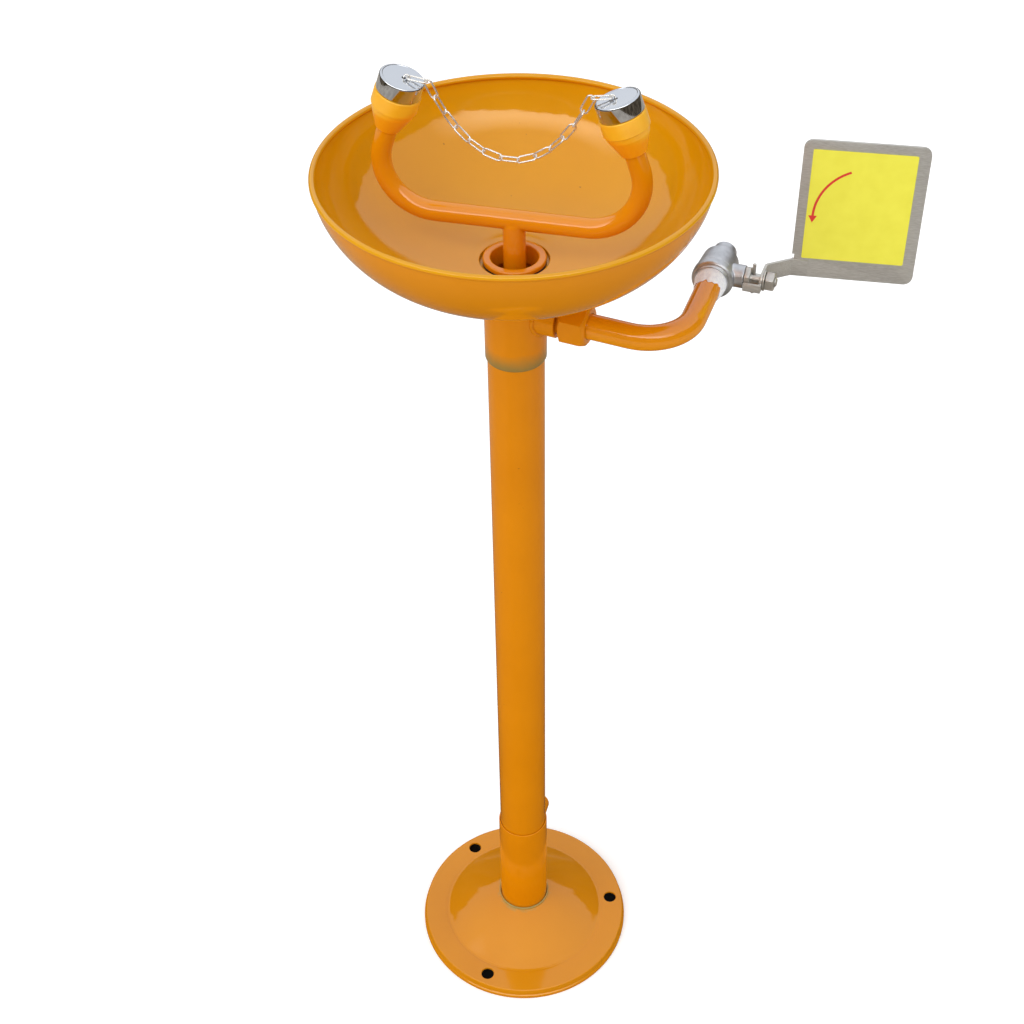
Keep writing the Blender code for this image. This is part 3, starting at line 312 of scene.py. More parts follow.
# %% [markdown]
# ## Finishes
# A finish starts from the real coating or metal and how it was made. The pieces all sit at the origin,
# so Object coordinates are places in metres on the real station, and a pattern's scale is simply one
# over its size in metres. Grain that is too fine for the picture is drawn coarser, as noted.

# %% Shader helpers
def colour(hex_value):
    """An sRGB hex colour as linear red, green, blue and alpha."""
    shares = [int(hex_value[i:i + 2], 16) / 255 for i in (0, 2, 4)]
    return (*[c / 12.92 if c <= 0.04045 else ((c + 0.055) / 1.055) ** 2.4 for c in shares], 1.0)


def add_node(tree, kind, inputs=(), output=0, **settings):
    """Add a node with its settings, colour stops, and values or links for its inputs; give one output."""
    node = tree.nodes.new("ShaderNode" + kind)
    for number, (position, shade) in enumerate(settings.pop("stops", [])):
        stop = node.color_ramp.elements[number]
        stop.position = position
        stop.color = colour(shade) if isinstance(shade, str) else shade
    for key, value in settings.items():
        setattr(node, key, value)
    for socket, value in dict(inputs).items():
        if isinstance(value, bpy.types.NodeSocket):
            tree.links.new(value, node.inputs[socket])
        else:
            node.inputs[socket].default_value = value
    return node.outputs[output]


def new_finish(name, **sockets):
    """A Principled material with constants on its sockets; its tree, shader and Object coordinates too."""
    made = bpy.data.materials.new(name)
    made.use_nodes = True
    tree = made.node_tree
    shader = tree.nodes["Principled BSDF"]
    for socket, value in sockets.items():
        shader.inputs[socket.replace("_", " ")].default_value = value
    return made, tree, shader, add_node(tree, "TexCoord", output="Object")


def lay_on(tree, shader, paint=None, gloss=None, reliefs=()):
    """Link a colour, a roughness of (pattern, least, most) and bumps of (pattern, strength, depth)."""
    if paint is not None:
        tree.links.new(paint, shader.inputs["Base Color"])
    if gloss is not None:
        pattern, least, most = gloss
        rough = add_node(tree, "MapRange", {"Value": pattern, "To Min": least, "To Max": most})
        tree.links.new(rough, shader.inputs["Roughness"])
    under = {}
    for pattern, strength, depth in reliefs:
        bump = add_node(tree, "Bump", {"Height": pattern, "Strength": strength, "Distance": depth, **under})
        tree.links.new(bump, shader.inputs["Normal"])
        under = {"Normal": bump}


# %% [markdown]
# ### Orange powder coat
# Powder coat is sprayed as dust and melted on: a thick, glossy skin with a faint orange-peel ripple of
# about 2 mm, long waves where the sheet under it isn't true, and a few pinholes. The peel and waves go
# into the bump, and slow noise shifts the colour a little. Where the coat ran thin, at the foot of the
# collar and on the neck of the flange, an olive-grey primer shows, so two variants mix that in by height.
# The bowl's coat is painted yellower on the faces that look up, as painted light, and darker on its underside, as
# painted shade.

# %% Orange powder coat
PINHOLE = "8A4E12"
PINHOLE_MOST = (0.5, 0.5, 0.5, 1)
RAGGED_EDGE = 7 * MM
PRIMER_MOST = 0.85


def orange_powder_coat(name, light, dark, shine, thin=None, under=None):
    """Glossy orange coat; thin = (full height, clear height, hex) fades to primer between two heights,
    and under is a darker colour for faces that look down: painted shade."""
    made, tree, shader, place = new_finish(name, IOR=1.62, Specular_Tint=colour(shine))
    drift = add_node(tree, "TexNoise", {"Vector": place, "Scale": 1 / (90 * MM), "Detail": 3.0})
    paint = add_node(tree, "ValToRGB", {"Fac": drift}, stops=[(0.3, dark), (0.7, light)])
    holes = add_node(tree, "TexNoise", {"Vector": place, "Scale": 1 / (3.5 * MM), "Detail": 1.0})
    spots = add_node(tree, "ValToRGB", {"Fac": holes}, stops=[(0.80, "000000"), (0.825, PINHOLE_MOST)])
    paint = add_node(tree, "Mix", {"Factor": spots, 6: paint, 7: colour(PINHOLE)}, 2, data_type="RGBA")
    if under:
        # Painted light and shade: faces that look up keep the lighter, yellower colour, and faces that look down
        # take the darker under colour.
        normal = add_node(tree, "NewGeometry", output="Normal")
        painted_light_mask = add_node(tree, "SeparateXYZ", {"Vector": normal}, "Z")
        painted_light_mask = add_node(tree, "MapRange", {"Value": painted_light_mask, "From Min": -0.1, "From Max": 0.1})
        paint = add_node(tree, "Mix", {"Factor": painted_light_mask, 6: colour(under), 7: paint}, 2, data_type="RGBA")
    if thin:
        full, clear, primer = thin
        height = add_node(tree, "SeparateXYZ", {"Vector": place}, "Z")
        ragged = add_node(tree, "TexNoise", {"Vector": place, "Scale": 1 / (9 * MM), "Detail": 4.0})
        edge = add_node(tree, "Math", {0: ragged, 1: RAGGED_EDGE, 2: height}, operation="MULTIPLY_ADD")
        fade = add_node(tree, "MapRange", {
            "Value": edge, "From Min": full + RAGGED_EDGE / 2, "From Max": clear + RAGGED_EDGE / 2,
            "To Min": PRIMER_MOST, "To Max": 0.0})
        paint = add_node(tree, "Mix", {"Factor": fade, 6: paint, 7: colour(primer)}, 2, data_type="RGBA")
    peel = add_node(tree, "TexNoise", {"Vector": place, "Scale": 1 / (2.2 * MM), "Detail": 2.0})
    wave = add_node(tree, "TexNoise", {"Vector": place, "Scale": 1 / (38 * MM), "Detail": 1.5})
    lay_on(tree, shader, paint, (drift, 0.05, 0.11), [(peel, 0.05, 0.25 * MM), (wave, 0.10, 3 * MM)])
    return made


STAND_PAINT = ("DF8704", "D67F02", "FFDCA0")
THIN_FOOT = (0.6925, 0.7060, "7E7440")
THIN_NECK = (0.0384, 0.0352, "9C935A")
# The first coat is a lighter copy of the same orange paint: painted light on the yoke, the supply pipe and the
# drain ring, which catch more light than the column and the parts under the bowl.
LIT_COAT = orange_powder_coat("orange_powder_coat_on_tube", "EA930A", "E28A04", "FFFFFF")
STAND_COAT = orange_powder_coat("orange_powder_coat", *STAND_PAINT)
# The bowl's lighter colours are painted light on the faces that look up; its under colour is painted shade.
BOWL_COAT = orange_powder_coat("orange_powder_coat_on_bowl", "E29F09", "DB9706", "FFF3D8", under="DA8607")
COLLAR_COAT = orange_powder_coat("orange_powder_coat_thin_at_foot", *STAND_PAINT, THIN_FOOT)
NECK_COAT = orange_powder_coat("orange_powder_coat_thin_at_neck", "D98A0C", "D28306", "FFF3DC", THIN_NECK)
print("paint", LIT_COAT.name, STAND_COAT.name, BOWL_COAT.name, COLLAR_COAT.name, NECK_COAT.name)

# %% [markdown]
# ### Moulded plastic, seals and film
# The spray heads are moulded ABS, dyed right through, so their yellow is clean and a little translucent,
# with a satin skin from the mould. The seals and the thread tape are PTFE, a waxy white that scatters
# light inside. The gasket is black nitrile rubber, and the label is a printed vinyl film.

# %% Plastics
def moulded_abs(name, light, dark, low, foot, band):
    """Satin moulded plastic with faint flow marks; below the band the cone is painted a deeper orange, as painted
    shade.
    """
    made, tree, shader, place = new_finish(
        name, IOR=1.54, Subsurface_Weight=0.12, Subsurface_Radius=(1.0, 0.55, 0.15),
        Subsurface_Scale=1.5 * MM)
    flow = add_node(tree, "TexNoise", {
        "Vector": place, "Scale": 1 / (14 * MM), "Detail": 2.0, "Distortion": 0.6})
    dye = add_node(tree, "ValToRGB", {"Fac": flow}, stops=[(0.3, dark), (0.7, light)])
    height = add_node(tree, "SeparateXYZ", {"Vector": place}, "Z")
    # The cone below the band is painted a deeper orange: painted shade.
    cone_painted_shade = add_node(tree, "MapRange", {
        "Value": height, "From Min": foot, "From Max": band, "To Min": 1.0, "To Max": 0.0})
    dye = add_node(tree, "Mix", {"Factor": cone_painted_shade, 6: dye, 7: colour(low)}, 2, data_type="RGBA")
    skin = add_node(tree, "TexNoise", {"Vector": place, "Scale": 1 / (0.7 * MM), "Detail": 2.0})
    lay_on(tree, shader, dye, (flow, 0.26, 0.40), [(skin, 0.06, 0.15 * MM)])
    return made


def soft_seal(name, light, dark, roughness, scatter):
    """A seal: waxy white tape and rings, or dull black rubber, painted darker in the hollows of its folds as
    painted shade.
    """
    made, tree, shader, place = new_finish(
        name, Roughness=roughness, Subsurface_Weight=scatter, Subsurface_Radius=(1.0, 1.0, 1.0),
        Subsurface_Scale=0.8 * MM)
    folds_and_crease_shade = add_node(tree, "TexNoise", {
        "Vector": place, "Scale": 1 / (2.4 * MM), "Detail": 3.0, "Distortion": 1.2})
    # The colour follows the relief, so the hollows of the folds are painted darker, as painted shade.
    dye = add_node(tree, "ValToRGB", {"Fac": folds_and_crease_shade}, stops=[(0.3, dark), (0.62, light)])
    lay_on(tree, shader, dye, reliefs=[(folds_and_crease_shade, 0.35, 0.4 * MM)])
    return made


def printed_film(name, light, dark, roughness):
    """Vinyl film or the ink on it: even colour, a slight mottle and a soft gloss."""
    made, tree, shader, place = new_finish(
        name, Roughness=roughness, IOR=1.5, Coat_Weight=0.2, Coat_Roughness=0.12)
    mottle = add_node(tree, "TexNoise", {"Vector": place, "Scale": 1 / (11 * MM), "Detail": 4.0})
    dye = add_node(tree, "ValToRGB", {"Fac": mottle}, stops=[(0.25, dark), (0.75, light)])
    lay_on(tree, shader, dye, reliefs=[(mottle, 0.04, 0.3 * MM)])
    return made


# The third colour is painted shade on the cone below the band.
HEAD_PLASTIC = moulded_abs("yellow_moulded_abs", "FFBC24", "FAB31C", "FFA508", 0.8765, 0.8815)
PTFE = soft_seal("white_ptfe_tape", "FAFAFC", "E6E6EE", 0.5, 0.1)
RUBBER = soft_seal("black_nitrile_rubber", "2C2B2A", "201F1E", 0.7, 0.0)
FILM = printed_film("yellow_vinyl_film", "EDE63F", "E6DE35", 0.42)
INK = printed_film("red_screen_ink", "DE2414", "D01E10", 0.40)
print("plastics", HEAD_PLASTIC.name, PTFE.name, RUBBER.name, FILM.name, INK.name)

# %% [markdown]
# ### Bare metals
# The caps and the chain are chrome plate over a polished ground: almost a mirror, with hair-fine
# scratches. The valve is cast stainless steel, tumbled to a dull grain of about half a millimetre.
# The push plate is brushed stainless sheet, so its grain is long and thin and runs along the sheet.

# %% Metals
def plated_chrome(name, tint, roughness, metal):
    """Bright plate with fine scratches, which are drawn coarser than the real ones."""
    made, tree, shader, place = new_finish(name, Metallic=metal, Base_Color=colour(tint))
    haze = add_node(tree, "TexNoise", {"Vector": place, "Scale": 1 / (6 * MM), "Detail": 5.0})
    fine = 1 / (0.5 * MM)
    stretched = add_node(tree, "Mapping", {"Vector": place, "Scale": (fine, fine, 1 / (12 * MM))})
    scratches = add_node(tree, "TexNoise", {"Vector": stretched, "Scale": 1.0, "Detail": 2.0})
    gloss = (haze, roughness * 0.6, roughness * 1.5)
    lay_on(tree, shader, gloss=gloss, reliefs=[(scratches, 0.03, 0.1 * MM)])
    return made


def cast_stainless(name, light, dark, grain):
    """Dull cast steel: a grain of small pits, cloudy colour and uneven gloss."""
    made, tree, shader, place = new_finish(name, Metallic=1.0)
    cloud = add_node(tree, "TexNoise", {"Vector": place, "Scale": 1 / (7 * MM), "Detail": 4.0})
    steel = add_node(tree, "ValToRGB", {"Fac": cloud}, stops=[(0.3, dark), (0.7, light)])
    pits = add_node(tree, "TexNoise", {"Vector": place, "Scale": 1 / grain, "Detail": 3.0})
    lay_on(tree, shader, steel, (cloud, 0.34, 0.52), [(pits, 0.25, 0.25 * MM)])
    return made


def brushed_stainless(name, light, dark, turn):
    """Brushed sheet: long thin grain along the sheet, turned to lie with it."""
    made, tree, shader, place = new_finish(name, Metallic=0.75)
    fine = 1 / (0.45 * MM)
    along = add_node(tree, "Mapping", {
        "Vector": place, "Rotation": turn, "Scale": (1 / (45 * MM), fine, fine)})
    grain = add_node(tree, "TexNoise", {"Vector": along, "Scale": 1.0, "Detail": 3.0})
    cloud = add_node(tree, "TexNoise", {"Vector": place, "Scale": 1 / (25 * MM), "Detail": 3.0})
    steel = add_node(tree, "ValToRGB", {"Fac": grain}, stops=[(0.3, dark), (0.7, light)])
    lay_on(tree, shader, steel, (cloud, 0.36, 0.50), [(grain, 0.12, 0.15 * MM)])
    return made


CHROME = plated_chrome("bright_chrome_plate", "CDD2DB", 0.07, 1.0)
WIRE = plated_chrome("bright_chain_wire", "F2F0EC", 0.24, 0.8)
CAST = cast_stainless("cast_stainless_steel", "DADDE4", "BEC1C8", 0.6 * MM)
MACHINED = cast_stainless("machined_stainless_steel", "DDDCDA", "C6C5C3", 0.35 * MM)
sheet_turn = (0.0, 0.0, -math.atan2(STEM_X.y, STEM_X.x))
SHEET = brushed_stainless("brushed_stainless_sheet", "D6D5D2", "BDBBB6", sheet_turn)
print("metals", CHROME.name, WIRE.name, CAST.name, MACHINED.name, SHEET.name)

# %% [markdown]
# ## Signing a piece off
# A finished piece gets smooth shading that stops at its true edges, its finish and the body it moves with,
# and the CAD nodes that it stands for are hidden.

# %% Sign off
def sign_off(piece, material, nodes, body="stand", angle=32):
    """Shade, paint and mount one finished piece."""
    take(piece)
    bpy.ops.object.shade_smooth_by_angle(angle=math.radians(angle))
    piece.data.materials.clear()
    piece.data.materials.append(material)
    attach(piece, body)
    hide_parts(*nodes)
    triangles = sum(len(face.vertices) - 2 for face in piece.data.polygons)
    print(piece.name, in_mm(piece.dimensions), "mm,", triangles, "triangles")


# %% [markdown]
# ## Floor flange
# The flange is a dish pressed from 2 mm sheet. The eye finds the soft crease where the dome meets the flat
# ring, the edge turned down to the floor with a second lip at its foot, the rolled neck round the socket,
# and three drilled holes that look black, because the dish is hollow under them and a painted shadow lies on
# the floor below them. It is turned from one profile that runs out over the top and back underneath, and a
# turned drill cuts the holes.

# %% Floor flange
GAP = 0.3 * MM
flange_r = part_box("base_flange")[1].x
neck_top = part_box("base_flange")[1].z
neck_foot = neck_top - 2.5 * MM
RING_Z = 10.5 * MM
FLANGE_T = 2.0 * MM
CREASE_R = flange_r - 25.5 * MM
SOCKET_R = 22.7 * MM
NECK_R = 24.5 * MM
DOME_BULGE = 0.22
DOME_STEPS = 28


def dome_height(radius):
    """Height of the domed face, with the slight bulge of a pressing."""
    share = (CREASE_R - radius) / (CREASE_R - NECK_R)
    return RING_Z + (neck_foot - RING_Z) * share * (1 + DOME_BULGE * (1 - share))


slope = [NECK_R + (CREASE_R - NECK_R) * i / DOME_STEPS for i in range(DOME_STEPS + 1)]
flange_profile = from_mm([(0.3, -0.5), (0.6, -0.1), (1.0, 0)], SOCKET_R, neck_top)
flange_profile += from_mm([(-0.3, -0.2), (0.1, -0.9)], NECK_R, neck_top)
flange_profile += [(r, dome_height(r)) for r in slope[:-1]]
flange_profile += soften([
    (slope[-2], dome_height(slope[-2]), 0),
    *from_mm([(0, 0.1, 1.2), (1.6, -0.25, 1.0), (3.4, 0, 1.5)], CREASE_R, RING_Z),
    (flange_r - 1.7 * MM, RING_Z, 1.8),
    *from_mm([(-1.3, 4.2, 0.8), (0, 3.2, 1.0), (0, 0, 0.4), (-2.4, 0, 0.4)], flange_r),
    (flange_r - 3.6 * MM, RING_Z - FLANGE_T, 0.8), (CREASE_R, RING_Z - FLANGE_T, 0)], loop=False)[1:]
flange_profile += [(r, dome_height(r) - FLANGE_T) for r in reversed(slope[1:-2])]
flange_profile += [(SOCKET_R + GAP, neck_foot - FLANGE_T)]
flange = turned("floor_flange", flange_profile, 160)

BOLT_CIRCLE_R = flange_r - 13.6 * MM
FIRST_BOLT_DEGREES = 21.7
drill_profile = from_mm([(0, -4), (6.0, -4), (6.0, -0.5), (6.9, 0.8), (0, 0.8)], up=RING_Z)
for number in range(3):
    angle = math.radians(FIRST_BOLT_DEGREES + 120 * number)
    bolt_at = (BOLT_CIRCLE_R * math.cos(angle), BOLT_CIRCLE_R * math.sin(angle), 0)
    drill = turned("drill", drill_profile, 48, loop=False)
    combine(flange, set_down(drill, Matrix.Translation(bolt_at)))
sign_off(flange, NECK_COAT, ["base_flange"])

# %% [markdown]
# ## Socket, column and waste outlet
# The column is a steel tube that drops into a short socket, which stands on the flange. The joint shows
# as a thin dark line, because the socket is a size larger and its top edge is rounded over.
# The waste water leaves by a stub at the back of the socket.

# %% Socket, column and outlet
def sleeve(name, outer, inner, foot, top, edge, sides=128):
    """A tube with rounded rims, its inner edges a little sharper."""
    return turned(name, soften([
        (outer, foot, edge), (outer, top, edge), (inner, top, edge * 0.6), (inner, foot, edge * 0.6)]), sides)


socket_low, socket_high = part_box("base_socket")
column_low, column_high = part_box("column_tube")
outlet_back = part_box("drain_outlet")[1].y
COLUMN_R = column_high.x
COLUMN_FIT = COLUMN_R + GAP
COLUMN_WALL = 2 * MM
OUTLET = Matrix.Translation((0, 0, 124 * MM)) @ ALONG_Y
OUTLET_R = 14 * MM
OUTLET_BORE = 11 * MM
socket = turned("base_sleeve", soften([
    (SOCKET_R, socket_low.z, 0.5), (SOCKET_R, socket_high.z, 0.9),
    (COLUMN_FIT, socket_high.z, 0.15), (COLUMN_FIT, socket_low.z, 0.3)]), 128)
column = sleeve("column_pipe", COLUMN_R, COLUMN_R - COLUMN_WALL, column_low.z, column_high.z, 0.5)
for tube in (socket, column):
    combine(tube, set_down(rod(OUTLET_BORE, 0, outlet_back), OUTLET))
sign_off(socket, STAND_COAT, ["base_socket"])
sign_off(column, STAND_COAT, ["column_tube"])

outlet = sleeve("waste_stub", OUTLET_R, OUTLET_BORE, 10 * MM, outlet_back, 0.8, 64)
set_down(outlet, OUTLET)
combine(outlet, rod(SOCKET_R + GAP, 80 * MM, 170 * MM, 128))
sign_off(outlet, STAND_COAT, ["drain_outlet"])

# %% [markdown]
# ## Bowl
# The bowl is spun from sheet 1.5 mm thick: a nearly flat floor that curves up ever faster to a steep wall,
# and a rolled bead as its rim. One formula gives the wall, so the inside and the outside are two close
# copies of the same curve. Many sides keep the reflections in the gloss smooth.

# %% Bowl
rim_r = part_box("bowl")[1].x
rim_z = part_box("bowl")[1].z
BEAD = 2.2 * MM
WALL = 1.5 * MM
FLOOR_Z = rim_z - 75 * MM
RECESS_R = 24.7 * MM
RECESS_Z = FLOOR_Z - 3 * MM
DRAIN_R = 19.5 * MM
BOWL_STEPS = 40
FLATNESS = 3.3
STEEPNESS = 1.56


def dished(edge_r, floor, top, inner_r):
    """Points of the dished wall from its edge in to a radius."""
    points = []
    for i in range(BOWL_STEPS + 1):
        radius = edge_r * math.cos(math.pi / 2 * i / BOWL_STEPS)
        if radius > inner_r:
            share = 1 - (1 - (radius / edge_r) ** FLATNESS) ** (1 / STEEPNESS)
            points.append((radius, floor + (top - floor) * share))
    return points


bead_r = rim_r - BEAD
tuck = math.asin(WALL / 2 / BEAD)
wall_top = rim_z - BEAD - BEAD * math.cos(tuck)
bead = [(bead_r + BEAD * math.cos(a), rim_z - BEAD + BEAD * math.sin(a))
        for a in np.linspace(1.5 * math.pi - tuck, tuck - 0.5 * math.pi, 21)]
outside = dished(bead_r + WALL / 2, FLOOR_Z, wall_top, RECESS_R + 2 * WALL)
inside = dished(bead_r - WALL / 2, FLOOR_Z + WALL, wall_top, RECESS_R + WALL)
recess = soften([
    (*outside[-1], 0), (RECESS_R + WALL, outside[-1][1], 0.5), (RECESS_R + WALL, RECESS_Z, 0.8),
    (DRAIN_R, RECESS_Z, 0.2), (DRAIN_R, RECESS_Z + WALL, 0.2), (RECESS_R, RECESS_Z + WALL, 0.5),
    (RECESS_R, inside[-1][1], 0.6), (*inside[-1], 0)], loop=False)
bowl = turned("wash_bowl", bead + outside[1:-1] + recess + inside[-2:0:-1], 192)
sign_off(bowl, BOWL_COAT, ["bowl"], angle=40)

# %% [markdown]
# ## Drain ring and collar
# A flanged ring clamps into the recess of the bowl, with a flat lip and a dark gap round it. Under the
# bowl a collar slips over the column; its lower edge is where the spray never reached, so the coat there
# is thin. The riser enters through a hole in its side.

# %% Drain ring and collar
ring_low, ring_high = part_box("drain_ring")
ring_r = ring_high.x
lip_foot = ring_high.z - 3.5 * MM
SPIGOT_R = DRAIN_R - GAP
BORE_R = SPIGOT_R - 2.4 * MM
drain = turned("drain_fitting", soften([
    (BORE_R, ring_low.z, 0.4), (BORE_R, ring_high.z, 1.3), (ring_r, ring_high.z, 1.1),
    (ring_r, lip_foot, 0.4), (SPIGOT_R, lip_foot, 0.3), (SPIGOT_R, ring_low.z, 0.4)]), 128)
sign_off(drain, LIT_COAT, ["drain_ring"])

collar_low, collar_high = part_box("bowl_collar")
COLLAR_R = collar_high.x
RISER_R = 8 * MM
collar = turned("collar_sleeve", soften([
    (COLLAR_R, collar_high.z, 0.3), (COLUMN_FIT, collar_high.z, 0.2), (COLUMN_FIT, collar_low.z, 0.2),
    *from_mm([(-0.5, 0, 0.2), (0, 0.9, 0.5)], COLLAR_R, collar_low.z)]), 128)
combine(collar, set_down(rod(RISER_R + GAP, 0, 40 * MM, 64), ARM @ ALONG_X))
sign_off(collar, COLLAR_COAT, ["bowl_collar"])

# %% [markdown]
# ## Spray yoke
# One tube carries water up the middle of the drain, and a second, bent like a horseshoe, carries it to the
# two heads. They are brazed together under the bar, and the paint rounds the joint off. Both tubes are led
# along their runs and bends. The brazed joint is two short rods that are melted together by a voxel
# remesh and smoothed, then added to the tubes, so its edges die away into them.

# %% Spray yoke
RISER_BEND = 20 * MM
RISER_WALL = 2.25 * MM
YOKE_BEND = 36.7 * MM
YOKE_WALL = 1.75 * MM
TUBE_STOP = 26 * MM
HEAD_TILT = math.acos(HEADS["left"].col[2].xyz.normalized().dot(UP))


def melt(piece, voxel, rounds):
    """Remesh a piece in small voxels and smooth it, so that its joints run together."""
    piece.data.remesh_voxel_size = voxel
    take(piece)
    bpy.ops.object.voxel_remesh()
    return apply(piece, "SMOOTH", factor=0.5, iterations=rounds)


riser_start = span("riser_pipe", ARM)[1].x
rise = YOKE.translation.z - 3.5 * MM - ARM.translation.z
riser = led_pipe("riser", RISER_R, (riser_start, 0, 0), (-1, 0, 0), [
    riser_start - RISER_BEND, ((0, 1, 0), RISER_BEND, math.pi / 2), rise - RISER_BEND])
apply(riser, "SOLIDIFY", thickness=RISER_WALL, offset=-1)
set_down(riser, ARM)

head_in_yoke = YOKE.inverted() @ HEADS["right"].translation
tilt_cos, tilt_sin = math.cos(HEAD_TILT), math.sin(HEAD_TILT)
bend_x = (tilt_cos * head_in_yoke.x + tilt_sin * (head_in_yoke.z - YOKE_BEND) - YOKE_BEND) / tilt_cos
bend_end = Vector((bend_x + YOKE_BEND * tilt_cos, YOKE_BEND + YOKE_BEND * tilt_sin))
tube_end = Vector((head_in_yoke.x + TUBE_STOP * tilt_sin, head_in_yoke.z - TUBE_STOP * tilt_cos))
leg = (tube_end - bend_end).length
bend = ((0, -1, 0), YOKE_BEND, math.pi / 2 + HEAD_TILT)
start = Vector((-tube_end.x, 0, tube_end.y))
yoke_route = [leg, bend, 2 * bend_x, bend, leg]
yoke = led_pipe("spray_yoke", YOKE_R, start, (-tilt_sin, 0, -tilt_cos), yoke_route)
apply(yoke, "SOLIDIFY", thickness=YOKE_WALL, offset=-1)
set_down(yoke, YOKE)

braze = set_down(rod(YOKE_R, -24 * MM, 24 * MM, 64), YOKE @ ALONG_X)
post_foot = -26 * MM
post = turned("post", [
    (0, post_foot), (RISER_R, post_foot), (RISER_R, -3 * MM), (RISER_R * 0.8, 1 * MM), (0, 2 * MM)],
    64, loop=False)
combine(braze, set_down(post, Matrix.Translation((0, 0, YOKE.translation.z))), "UNION")
melt(braze, 0.5 * MM, 26)
combine(yoke, riser, "UNION")
combine(yoke, braze, "UNION")
sign_off(yoke, LIT_COAT, ["yoke_tube", "riser_pipe"], angle=40)

# %% [markdown]
# ## Spray heads and dust caps
# Each head is a moulded cup: a straight band under the cap, a small step, and a cone down to the tube.
# The cap is a drawn cup of plated sheet with a rounded top edge and a rolled mouth. A wire staple stands
# in two holes in its top, the inner one wide and dark, and holds the chain. One head and one cap are
# modelled upright and copied to both sides.

# %% Spray heads and caps
CAP_R = 15.5 * MM
CAP_H = 11 * MM
SHOULDER = CAP_H + GAP
HEAD_R = 16 * MM
BAND_FOOT = SHOULDER + 11 * MM
HEAD_FOOT = BAND_FOOT + 17 * MM
TUBE_FIT = YOKE_R + GAP
TUBE_BORE = YOKE_R - YOKE_WALL
STAPLE_X = 2.8 * MM
STAPLE_R = 1.9 * MM
STAPLE_WIRE = 0.6 * MM
STAPLE_LEG = 3.5 * MM


def copy_of(piece, name):
    """A copy with its own mesh."""
    take(piece)
    bpy.ops.object.duplicate()
    twin = bpy.context.object
    twin.name = name
    return twin


head = turned("head", soften([
    *from_mm([(11.55, -3.5, 0.3), (13.2, -3.5, 0.4)]), (13.2 * MM, -SHOULDER, 0.2), (HEAD_R, -SHOULDER, 0.8),
    *from_mm([(0, 0, 0.5), (-0.9, -0.5, 0.3), (-1.6, -4.0, 3.0)], HEAD_R, -BAND_FOOT),
    *from_mm([(2.2, 2.2, 2.0), (1.35, 0, 0.5), (0, 0, 0.2)], TUBE_FIT, -HEAD_FOOT),
    (TUBE_FIT, -25.7 * MM, 0), (TUBE_BORE, -25.7 * MM, 0), (TUBE_BORE, -22 * MM, 0.3),
    *from_mm([(10.8, -22, 0.5), (10.8, -5.6, 0), (11.55, -5.6, 0)])]))
cap = turned("cap", soften([
    (0, -0.4 * MM, 0), *from_mm([(-2.0, -0.4, 0.25), (-1.7, 0, 0.3), (0, 0, 1.5)], CAP_R),
    (CAP_R, -CAP_H, 0.5), (CAP_R - 2 * MM, -CAP_H, 0.3),
    (CAP_R - 2 * MM, -1.5 * MM, 0.6), (0, -1.5 * MM, 0)], loop=False), loop=False)
for hole_x, hole_r in ((STAPLE_X - STAPLE_R, 1.45 * MM), (STAPLE_X + STAPLE_R, 0.85 * MM)):
    combine(cap, set_down(rod(hole_r, -4 * MM, 2 * MM, 32), Matrix.Translation((hole_x, 0, 0))))
staple_foot = (STAPLE_X - STAPLE_R, 0, -2.8 * MM)
staple_route = [STAPLE_LEG, ((0, 1, 0), STAPLE_R, math.pi), STAPLE_LEG]
staple = cap_ends(led_pipe("staple", STAPLE_WIRE, staple_foot, (0, 0, 1), staple_route, 20))
for side, place in HEADS.items():
    for pattern, name, material, node, slot, body in (
            (head, "head_cup_", HEAD_PLASTIC, "spray_head_", "yellow_plastic", "stand"),
            (cap, "chrome_cap_", CHROME, "dust_cap_", "chrome_plate", "cap_" + side),
            (staple, "wire_staple_", WIRE, "cap_staple_", "chrome_plate", "cap_" + side)):
        piece = set_down(copy_of(pattern, name + side), place)
        sign_off(piece, material, [node + side], body)
for pattern in (head, cap, staple):
    bpy.data.objects.remove(pattern, do_unlink=True)

# %% [markdown]
# ## Chain
# The chain is welded from long links of thin wire, fifteen of them, each at right angles to the next. One
# link is a torus pulled out in the middle. Every CAD link gives its own place: its longest spread is the
# link's length, the next its width, and the last the way through the loop.

# %% Chain
LINK_LENGTH = 15 * MM
LINK_WIDTH = 6.4 * MM
LINK_WIRE = 1.3 * MM
link_shape = add_primitive(
    "torus", "link", major_segments=40, minor_segments=14,
    major_radius=(LINK_WIDTH - LINK_WIRE) / 2, minor_radius=LINK_WIRE / 2)
stretch = (LINK_LENGTH - LINK_WIDTH) / 2
for way in (1, -1):
    pick(link_shape, lambda vertex: vertex.co.x * way > 0.1 * MM)
    bpy.ops.transform.translate(value=(stretch * way, 0, 0))
    bpy.ops.object.mode_set(mode="OBJECT")


def link_place(node):
    """Where a CAD link lies, from the spread of its corners."""
    corners = np.unique(corners_of(node).round(7), axis=0)
    middle = corners.mean(0)
    ways = np.linalg.eigh(np.cov((corners - middle).T))[1]
    long_way, wide_way = Vector(ways[:, 2]), Vector(ways[:, 1])
    return frame_at(Vector(middle), long_way, wide_way, long_way.cross(wide_way))


for body, members in frame["record"]["behaviour"]["bodies"].items():
    for node in members:
        if node.startswith("chain_link_"):
            wire_link = copy_of(link_shape, node.replace("chain_link", "wire_link"))
            sign_off(set_down(wire_link, link_place(node)), WIRE, [node], body)
bpy.data.objects.remove(link_shape, do_unlink=True)

# %% [markdown]
# ## Supply arm
# A short coupling is welded to the collar, and a bead of weld rounds the joint. A hexagon adapter screws
# into it, with a few turns of thread showing in the gap, and takes the bent supply pipe. A hexagon gets
# its curved corners where a turned chamfer cuts its six flats, just as on a lathe.

